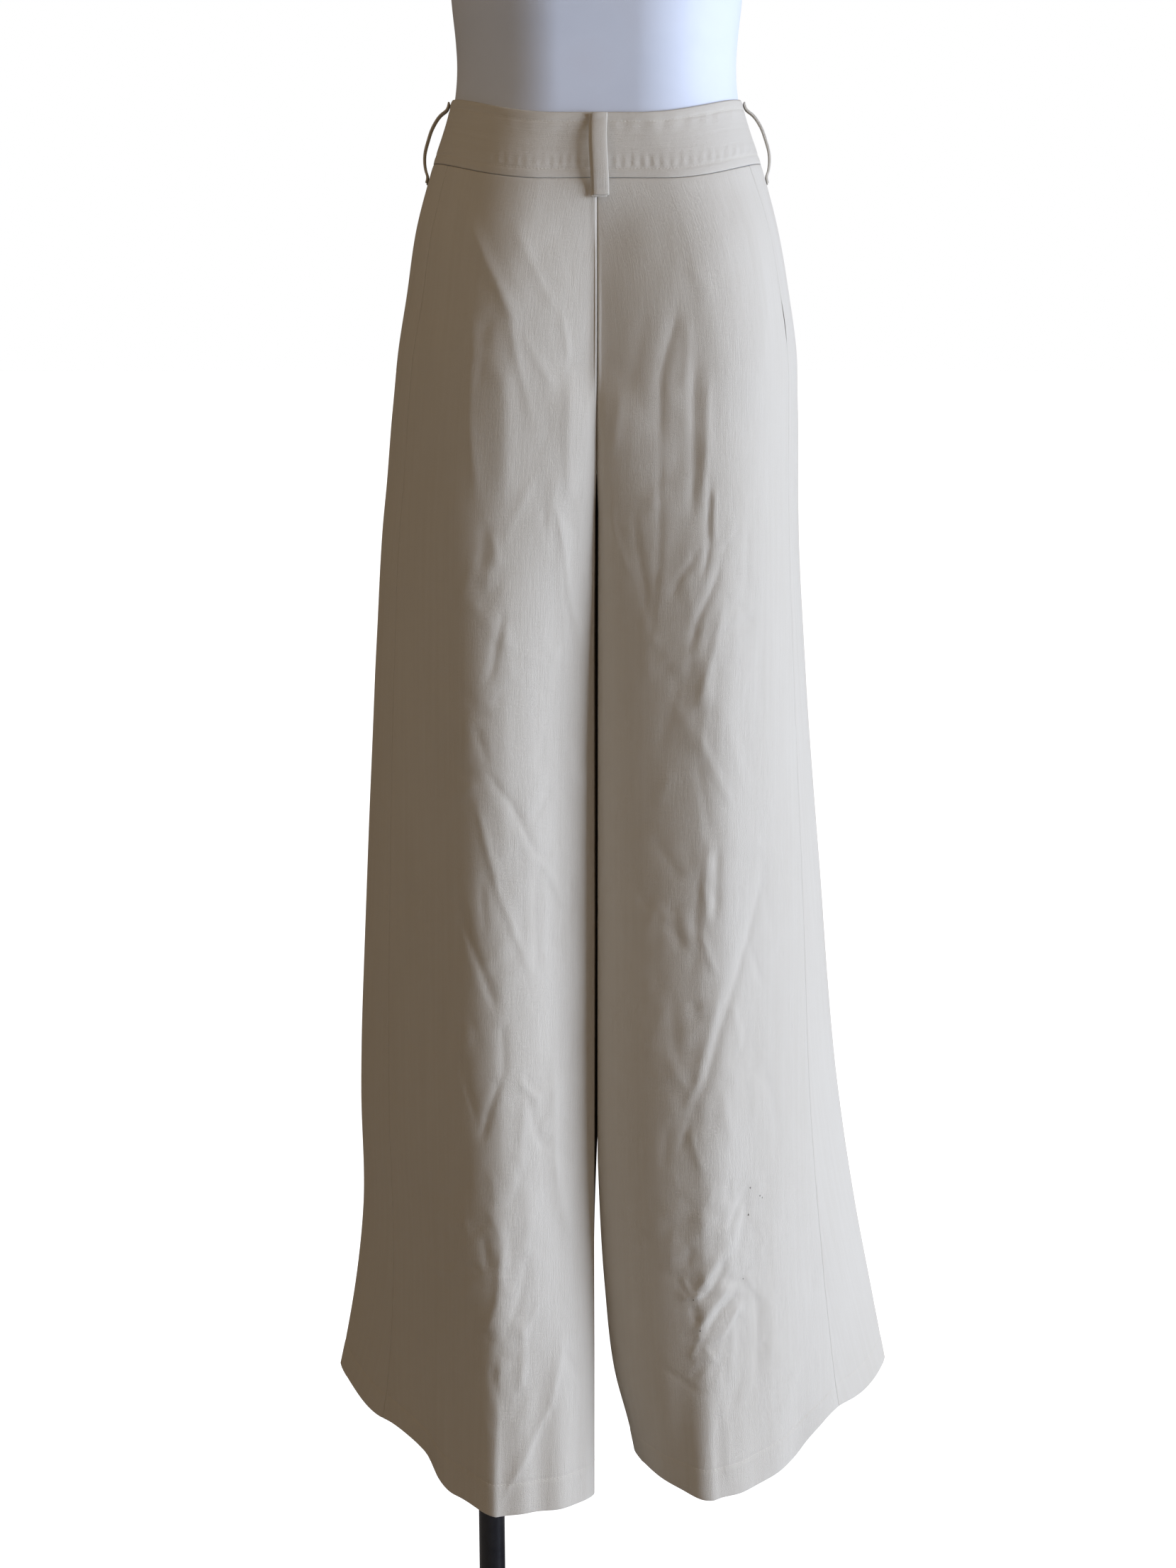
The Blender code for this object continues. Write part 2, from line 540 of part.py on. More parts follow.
def belt_loop(name, side, station, material, lift=0.0):
    """A strip sewn down at both ends, over the waistband's top and below its seam."""
    path = np.array(LOOP_PATH) + [0.0, lift]
    spot = np.array([station])
    height = path[:, 0]
    points = outer_surface(side, height, spot)[:, 0]
    out = cloth_normals(side, height, spot)[:, 0]
    if station == BACK_CENTRE:
        points[:, 0] = 0.0
        out[:, 0] = 0.0
        out = unit(out)
    across = unit(np.cross(out, [0.0, 0.0, 1.0]))[:, None] * np.array([-0.5, 0.5])[:, None] * LOOP_WIDTH
    under = (points + path[:, 1:] * out)[:, None] + across
    over = under + LOOP_CLOTH * out[:, None]
    return wall(name, over, under, material)


def fly(material):
    """The fly's stitched-down edge: a flat strip that lies on the right front's own rows."""
    height = panel_heights("right")[: len(FLY_WIDTHS)]
    outer, _, out = cloth_faces("right", height, FRONT_STATIONS, CLOTH)
    ridge = leg_sizes("right", height)["ridge"]
    over, under = [], []
    for row, width in enumerate(FLY_WIDTHS):
        spots = FRONT_CENTRE - (FRONT_CENTRE - 3.0) * np.linspace(SEAM, width, FLY_STEPS + 1) / ridge[row]
        points, ways = (
            np.stack([np.interp(spots, FRONT_STATIONS, grid[row, :, axis]) for axis in range(3)], 1)
            for grid in (outer, out)
        )
        under.append(points + FLY_LIFT * ways)
        over.append(points + (FLY_LIFT + TRIM_CLOTH) * ways)
    over, under = np.array(over), np.array(under)
    drop = unit(under[1] - under[0]) * 2 * SEAM
    under[0] += drop
    over[0] += drop
    return wall("fly", over, under, material)


# ---- The form and its stand ---------------------------------------------------
def form_rings():
    """Height in the form's table, level and scale of each ring, from its underside up."""
    turn = np.linspace(0.0, np.pi / 2, FORM_END_STEPS + 1)[1:]
    inward, depth = np.cos(turn) ** FORM_ROUND, np.sin(turn) ** FORM_ROUND
    under = FORM_UNDERSIDE + (1 - FORM_UNDERSIDE) * inward
    over = np.maximum(inward, FORM_TIP)
    below = FORM_HIP - (FORM_HIP - FORM_BOTTOM) * depth
    above = FORM_SHOULDER + (FORM_TOP - FORM_SHOULDER) * depth
    levels = np.array(FORM_LEVELS)
    height = np.concatenate([np.full_like(below, FORM_HIP), levels, np.full_like(above, FORM_SHOULDER)])
    level = np.concatenate([below[::-1], levels, above])
    return height, level, np.concatenate([under[::-1], np.ones_like(levels), over])


def display_form(material):
    """A smooth closed torso from above the waist to above the crotch, its underside flat."""
    height, level, scale = form_rings()
    size = {name: smooth(height, FORM["height"], FORM[name]) for name in FORM_COLUMNS[1:]}
    size["outer"] = size["crease"] = np.full_like(height, ROUND_POWER)
    valley = {"back": size["valley"], "front": FRONT_VALLEY * size["valley"]}
    still = {face: np.zeros_like(height) for face in valley}
    x, y = section(size, valley, still, still["back"], BAND_STATIONS)
    right = lowered("right", height, level, size, x, y)
    left = right[:, -2:0:-1] * [-1.0, 1.0, 1.0]
    rings = np.concatenate([right, left], axis=1)
    rings[..., :2] *= scale[:, None, None]
    return ringed("form", rings, material)


def stand(metal):
    """The round base, the pole that stands off its centre, its collar, and the form's socket."""
    hole = POLE_RADIUS + SEAM
    seat = FORM_BOTTOM - SEAM
    roof = seat - SOCKET_ROOF
    turned(
        "base",
        (
            (BASE_RADIUS - EDGE, 0.0),
            (BASE_RADIUS, EDGE),
            (BASE_RADIUS, BASE_THICKNESS - EDGE),
            (BASE_RADIUS - EDGE, BASE_THICKNESS),
        ),
        0.0,
        metal,
        BASE_SIDES,
    )
    foot = BASE_THICKNESS + SEAM
    turned("pole", ((POLE_RADIUS, foot), (POLE_RADIUS, roof - SEAM)), POLE_X, metal)
    collar(
        "collar",
        (
            (hole, foot),
            (COLLAR_RADIUS, foot),
            (COLLAR_RADIUS, foot + COLLAR_HEIGHT / 2),
            (hole + COLLAR_LIP, foot + COLLAR_HEIGHT),
            (hole, foot + COLLAR_HEIGHT),
        ),
        metal,
    )
    turned(
        "socket",
        (
            (hole, roof),
            (hole, roof - SOCKET_DEPTH),
            (SOCKET_RADIUS, roof - SOCKET_DEPTH),
            (SOCKET_RADIUS, roof - SOCKET_ROOF),
            (SOCKET_FLANGE, roof),
            (SOCKET_FLANGE, seat),
        ),
        POLE_X,
        metal,
    )


def collar(name, profile, material):
    """A ring round the pole: a closed profile turned about the pole's axis."""
    angle = np.arange(ROUND_SIDES) * 2 * np.pi / ROUND_SIDES
    circle = np.stack([np.cos(angle), np.sin(angle), np.zeros(ROUND_SIDES)], 1)
    rings = np.array([np.array([POLE_X, 0.0, z]) + radius * circle for radius, z in profile])
    count, around = rings.shape[:2]
    index = np.arange(count * around).reshape(count, around)
    below = np.roll(index, -1, axis=0)
    a, b = index, np.roll(index, -1, axis=1)
    c, d = np.roll(below, -1, axis=1), below
    triangles = np.stack([a, b, c, a, c, d], -1).reshape(-1, 3)
    return add_object(name, rings.reshape(-1, 3), triangles, material)


def build():
    for old in list(bpy.data.objects):
        bpy.data.objects.remove(old, do_unlink=True)
    cloth = finish("ivory_cloth", (0.78, 0.72, 0.60), 0.75)
    shell = finish("form_shell", (0.80, 0.81, 0.84), 0.35)
    metal = finish("black_metal", (0.012, 0.012, 0.014), 0.35, 0.6)
    for side in SIDES:
        panel("back", side, cloth)
        panel("front", side, cloth)
    waistband(cloth)
    fly(cloth)
    belt_loop("loop_back", "right", BACK_CENTRE, cloth, CENTRE_LIFT)
    for side in SIDES:
        belt_loop(f"loop_side_{side}", side, SIDE_LOOP, cloth)
        belt_loop(f"loop_front_{side}", side, FRONT_LOOP, cloth)
    display_form(shell)
    stand(metal)


build()
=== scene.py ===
# %% [markdown]
# # Wide-leg trousers on a display form
#
# The real object is a pair of ivory trousers, seen from the back, pulled over a smooth
# pale torso that stands on a black pole. The cloth is thin and matt, and it shows where
# it was worn: soft folds under the seat, crossed creases behind the knees, a snagged
# patch low on the right leg, and a crooked pressed crease at the left hem.
#
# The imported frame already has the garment's true outline. This file makes the cloth
# again as fine sheets on the same surface, and adds what a coarse solid can't carry.
# All sizes are metres, +Z is up, the back of the trousers faces -Y, and the wearer's
# left is -X.

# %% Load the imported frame
import math

import bpy
import numpy as np
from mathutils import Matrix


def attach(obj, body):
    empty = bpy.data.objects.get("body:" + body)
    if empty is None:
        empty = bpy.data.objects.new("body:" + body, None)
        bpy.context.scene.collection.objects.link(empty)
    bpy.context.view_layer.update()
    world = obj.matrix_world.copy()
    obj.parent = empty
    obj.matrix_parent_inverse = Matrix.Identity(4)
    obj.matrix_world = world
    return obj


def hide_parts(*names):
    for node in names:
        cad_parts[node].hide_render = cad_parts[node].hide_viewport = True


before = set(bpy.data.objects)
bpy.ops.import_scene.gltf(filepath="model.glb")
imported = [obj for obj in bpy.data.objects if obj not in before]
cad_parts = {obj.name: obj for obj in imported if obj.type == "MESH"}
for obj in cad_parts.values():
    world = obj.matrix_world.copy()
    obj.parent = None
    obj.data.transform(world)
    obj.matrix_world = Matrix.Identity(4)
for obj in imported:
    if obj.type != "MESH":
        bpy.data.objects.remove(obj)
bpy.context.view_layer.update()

# %% [markdown]
# ## The sizes that the cloth is worked out from
#
# A tailor would call these the pattern's measures. They are the frame's own, so that
# every sheet made here lies where its solid lies. One table for each leg gives the
# section at a few heights, and a smooth curve joins them.

# %% Driving sizes
WAIST_TOP, WAIST_SEAM = 1.500, 1.450
HOOK_TOP, CROTCH = 1.270, 1.210  # between them the middle seam turns under
HEM = {"left": 0.364, "right": 0.370}  # its height at the side
WAIST_DIP, WAIST_DIP_POWER, DIP_FADE = 0.0165, 2.5, 1.320  # the waist is lower at the centre
HEM_DIP, FRONT_HANG = {"left": 0.047, "right": 0.044}, 0.6  # the hem hangs lower at the back
LEG_GAP, LEG_PARTING = 0.0012, 0.035  # the gap beside the middle plane, and where it opens
HALF_SEAM, INSEAM_Y = 0.00015, 0.005
BACK_CENTRE, SIDE_SEAM, FRONT_CENTRE, LAST_STATION = 0.5, 1.62, 3.5, 4.0
FORM_SHOULDER = 1.590  # the form's top rounds over above this
FRONT_VALLEY, FRONT_POWER = 0.6, 1.7  # the front's share of the valley, and its roundness
CREASED, ROUND_POWER = (1.300, 1.100, 1.5), 2.0  # heights between which the valley sharpens
SIDES = {"left": -1.0, "right": 1.0}
FACES = {"back": (1, -1.0), "front": (1, 1.0), "left": (0, -1.0), "right": (0, 1.0)}  # axis, way

LEG_COLUMNS = ("height", "wide", "ridge", "back", "front", "inner", "outer", "valley")
LEG_ROWS = {
    "left": (
        (1.520, 0.1160, 0.028, 0.0875, 0.0850, 0.000, 2.00, 0.0005),
        (1.500, 0.1190, 0.030, 0.0900, 0.0880, 0.000, 2.00, 0.0005),
        (1.450, 0.1345, 0.042, 0.1010, 0.0965, 0.000, 2.00, 0.0010),
        (1.400, 0.1490, 0.052, 0.1100, 0.1010, 0.000, 1.95, 0.0040),
        (1.345, 0.1585, 0.058, 0.1175, 0.1040, 0.000, 1.90, 0.0080),
        (1.300, 0.1665, 0.062, 0.1215, 0.1060, 0.000, 1.90, 0.0120),
        (1.250, 0.1720, 0.066, 0.1240, 0.1065, 0.000, 1.90, 0.0170),
        (1.200, 0.1760, 0.070, 0.1250, 0.1060, 0.000, 1.90, 0.0240),
        (1.150, 0.1820, 0.072, 0.1260, 0.1050, 0.000, 1.90, 0.0310),
        (1.060, 0.1895, 0.074, 0.1280, 0.1030, 0.000, 1.85, 0.0400),
        (0.850, 0.2040, 0.077, 0.1340, 0.1020, 0.000, 1.70, 0.0480),
        (0.640, 0.2150, 0.080, 0.1470, 0.1050, 0.000, 1.52, 0.0500),
        (0.525, 0.2160, 0.082, 0.1560, 0.1080, 0.000, 1.40, 0.0480),
        (0.450, 0.2250, 0.084, 0.1640, 0.1110, 0.000, 1.30, 0.0440),
        (0.400, 0.2340, 0.086, 0.1720, 0.1130, 0.000, 1.24, 0.0400),
        (0.340, 0.2470, 0.087, 0.1860, 0.1160, 0.000, 1.20, 0.0360),
    ),
    "right": (
        (1.520, 0.1160, 0.028, 0.0875, 0.0850, 0.000, 2.00, 0.0005),
        (1.500, 0.1190, 0.030, 0.0900, 0.0880, 0.000, 2.00, 0.0005),
        (1.450, 0.1355, 0.050, 0.1010, 0.0965, 0.000, 2.00, 0.0010),
        (1.400, 0.1500, 0.068, 0.1100, 0.1010, 0.000, 1.95, 0.0040),
        (1.345, 0.1610, 0.078, 0.1175, 0.1040, 0.000, 1.90, 0.0080),
        (1.300, 0.1680, 0.082, 0.1215, 0.1060, 0.000, 1.90, 0.0120),
        (1.250, 0.1700, 0.084, 0.1240, 0.1065, 0.000, 1.90, 0.0170),
        (1.200, 0.1705, 0.085, 0.1250, 0.1060, 0.000, 1.90, 0.0240),
        (1.150, 0.1725, 0.086, 0.1260, 0.1050, 0.000, 1.90, 0.0310),
        (1.060, 0.1795, 0.086, 0.1280, 0.1030, 0.000, 1.85, 0.0390),
        (0.850, 0.2000, 0.087, 0.1340, 0.1020, 0.000, 1.70, 0.0460),
        (0.640, 0.2225, 0.090, 0.1460, 0.1050, 0.001, 1.52, 0.0500),
        (0.525, 0.2420, 0.094, 0.1520, 0.1080, 0.0075, 1.42, 0.0530),
        (0.450, 0.2575, 0.098, 0.1580, 0.1110, 0.0165, 1.34, 0.0560),
        (0.400, 0.2680, 0.101, 0.1640, 0.1130, 0.029, 1.28, 0.0600),
        (0.340, 0.2805, 0.104, 0.1740, 0.1160, 0.040, 1.24, 0.0660),
    ),
}


# %% [markdown]
# ## The garment's surface as a formula
#
# A height and a station name any point of the cloth. The station runs round one side
# like hours on a dial: 0.5 is the centre back, 1 the ridge where the back stands out
# most, 2 the widest point, 3 the front ridge and 3.5 the centre front. Lofting curves
# by hand would also give a skin, but a formula can be asked for any point again, which
# is how the stitches later find the cloth that they sit on.

# %% Heights and sections
QUARTER_STEPS = 241


def by_column(columns, rows):
    """Rows sorted by height, as one array for each named column."""
    ordered = sorted(rows)
    return {name: np.array([row[i] for row in ordered]) for i, name in enumerate(columns)}


def smooth(height, knots, values):
    """Cubic through the knots: at each, the slope is the one between its two neighbours."""
    slope = np.gradient(values, knots)
    i = np.clip(np.searchsorted(knots, height) - 1, 0, len(knots) - 2)
    span = knots[i + 1] - knots[i]
    t = np.clip((height - knots[i]) / span, 0.0, 1.0)
    rise = (1 + 2 * t) * (1 - t) ** 2 * values[i] + t**2 * (3 - 2 * t) * values[i + 1]
    return rise + span * (t * (1 - t) ** 2 * slope[i] - t**2 * (1 - t) * slope[i + 1])


LEGS = {side: by_column(LEG_COLUMNS, rows) for side, rows in LEG_ROWS.items()}


def leg_sizes(side, height):
    """The leg table's sizes at these heights, with the power of the valley's crease."""
    leg = LEGS[side]
    size = {name: smooth(height, leg["height"], leg[name]) for name in LEG_COLUMNS[1:]}
    start, end, power = CREASED
    share = np.clip((start - height) / (start - end), 0.0, 1.0)
    return {**size, "crease": ROUND_POWER + (power - ROUND_POWER) * share}


def middle_gap(height):
    """Half a seam above the crotch, growing to the gap between the legs below it."""
    parted = np.clip((CROTCH - height) / LEG_PARTING, 0.0, 1.0)
    return HALF_SEAM + (LEG_GAP - HALF_SEAM) * parted


def quarter(reach, depth, power, share):
    """(x / reach)^power + (y / depth)^power = 1, at equal shares of its length."""
    angle = np.linspace(0.0, np.pi / 2, QUARTER_STEPS)
    bend = 2 / power[:, None]
    across = reach[:, None] * np.sin(angle) ** bend
    along = depth[:, None] * np.cos(angle) ** bend
    step = np.hypot(np.diff(across), np.diff(along))
    length = np.concatenate([np.zeros((len(reach), 1)), np.cumsum(step, axis=1)], axis=1)
    length /= length[:, -1:]
    return (
        np.array([np.interp(share, *pair) for pair in zip(length, across)]),
        np.array([np.interp(share, *pair) for pair in zip(length, along)]),
    )


def section(size, valley, run, inner, station):
    """Four quarters make one side: valley, back to side, side to front, valley again."""
    x = np.zeros((len(inner), len(station)))
    y = np.zeros_like(x)
    for turn in range(4):
        here = (station >= turn) & ((station < turn + 1) | (station == LAST_STATION))
        face, outwards = ("back", -1.0) if turn < 2 else ("front", 1.0)
        from_ridge = np.abs(station[here] - (1 if turn < 2 else 3))
        if turn in (0, 3):
            width, fall = size["ridge"] - inner, valley[face]
            share = from_ridge / (1 - BACK_CENTRE)
            reach, rest = quarter(width, fall, size["crease"], np.minimum(share, 1.0))
            straight = run[face][:, None] * np.maximum(share - 1.0, 0.0)
            x[:, here] = size["ridge"][:, None] - reach
            y[:, here] = outwards * ((size[face] - fall)[:, None] + rest - straight)
        else:
            width = size["wide"] - size["ridge"]
            power = size["outer"]
            if face == "front":
                power = np.maximum(power, FRONT_POWER)
            reach, rest = quarter(width, size[face], power, from_ridge)
            x[:, here] = size["ridge"][:, None] + reach
            y[:, here] = outwards * rest
    return x, y


def row_drop(side, height, size, x, y):
    """Rows sink with |y| / depth: by the waist's dip above, and by the hem's hang below, which
    doesn't rise again between the ridges."""
    at_back = y < 0
    height = height[:, None]
    depth = np.where(at_back, size["back"][:, None], size["front"][:, None])
    valley = np.where(at_back, 1.0, FRONT_VALLEY) * size["valley"][:, None]
    waist_share = np.clip(np.abs(y) / depth, 0.0, 1.0)
    hem_depth = np.where(x < size["ridge"][:, None], depth - valley, depth)
    hem_share = np.clip(np.abs(y) / hem_depth, 0.0, 1.0)
    high = np.clip((height - DIP_FADE) / (WAIST_SEAM - DIP_FADE), 0.0, 1.0)
    above = np.clip((FORM_SHOULDER - height) / (FORM_SHOULDER - WAIST_TOP), 0.0, 1.0)
    waist = WAIST_DIP * high**2 * (3 - 2 * high) * above
    low = np.clip((CROTCH - height) / (CROTCH - HEM[side]), 0.0, None)
    hang = HEM_DIP[side] * low**2 * np.where(at_back, 1.0, FRONT_HANG)
    return waist * waist_share**WAIST_DIP_POWER + hang * hem_share


# %% The plain cloth, before any fold
INSEAM_STEPS = 11  # columns from a leg's corner to its inseam
TUCK = 0.0022  # depth of cloth that a seam turns in


def plain_cloth(side, height, station):
    """Rows of heights by columns of stations. Above the hook, the columns past the centre
    seam hold only the narrow strip that the seam turns in."""
    size = leg_sizes(side, height)
    inner = np.maximum(size["inner"], middle_gap(height))
    valley = {"back": size["valley"], "front": FRONT_VALLEY * size["valley"]}
    inseam = {"back": INSEAM_Y, "front": -INSEAM_Y}
    trunk, strip = height > HOOK_TOP + 1e-6, TUCK * INSEAM_STEPS
    run = {
        face: np.where(trunk, strip, size[face] - fall + inseam[face])
        for face, fall in valley.items()
    }
    x, y = section(size, valley, run, inner, station)
    z = height[:, None] - row_drop(side, height, size, x, y)
    return np.stack([SIDES[side] * x, y, z], axis=-1)


def lengths(points, axis=0):
    """How far each point lies along its row or column, from the first one."""
    steps = np.diff(points, axis=axis, prepend=points.take([0], axis=axis))
    return np.cumsum(np.linalg.norm(steps, axis=-1), axis=axis)


def unit(vectors):
    return vectors / np.maximum(np.linalg.norm(vectors, axis=-1, keepdims=True), 1e-12)


def grid_normals(points, sign):
    """The cross product of the steps along a row and up a column, outwards."""
    return sign * unit(np.cross(np.gradient(points, axis=1), -np.gradient(points, axis=0)))
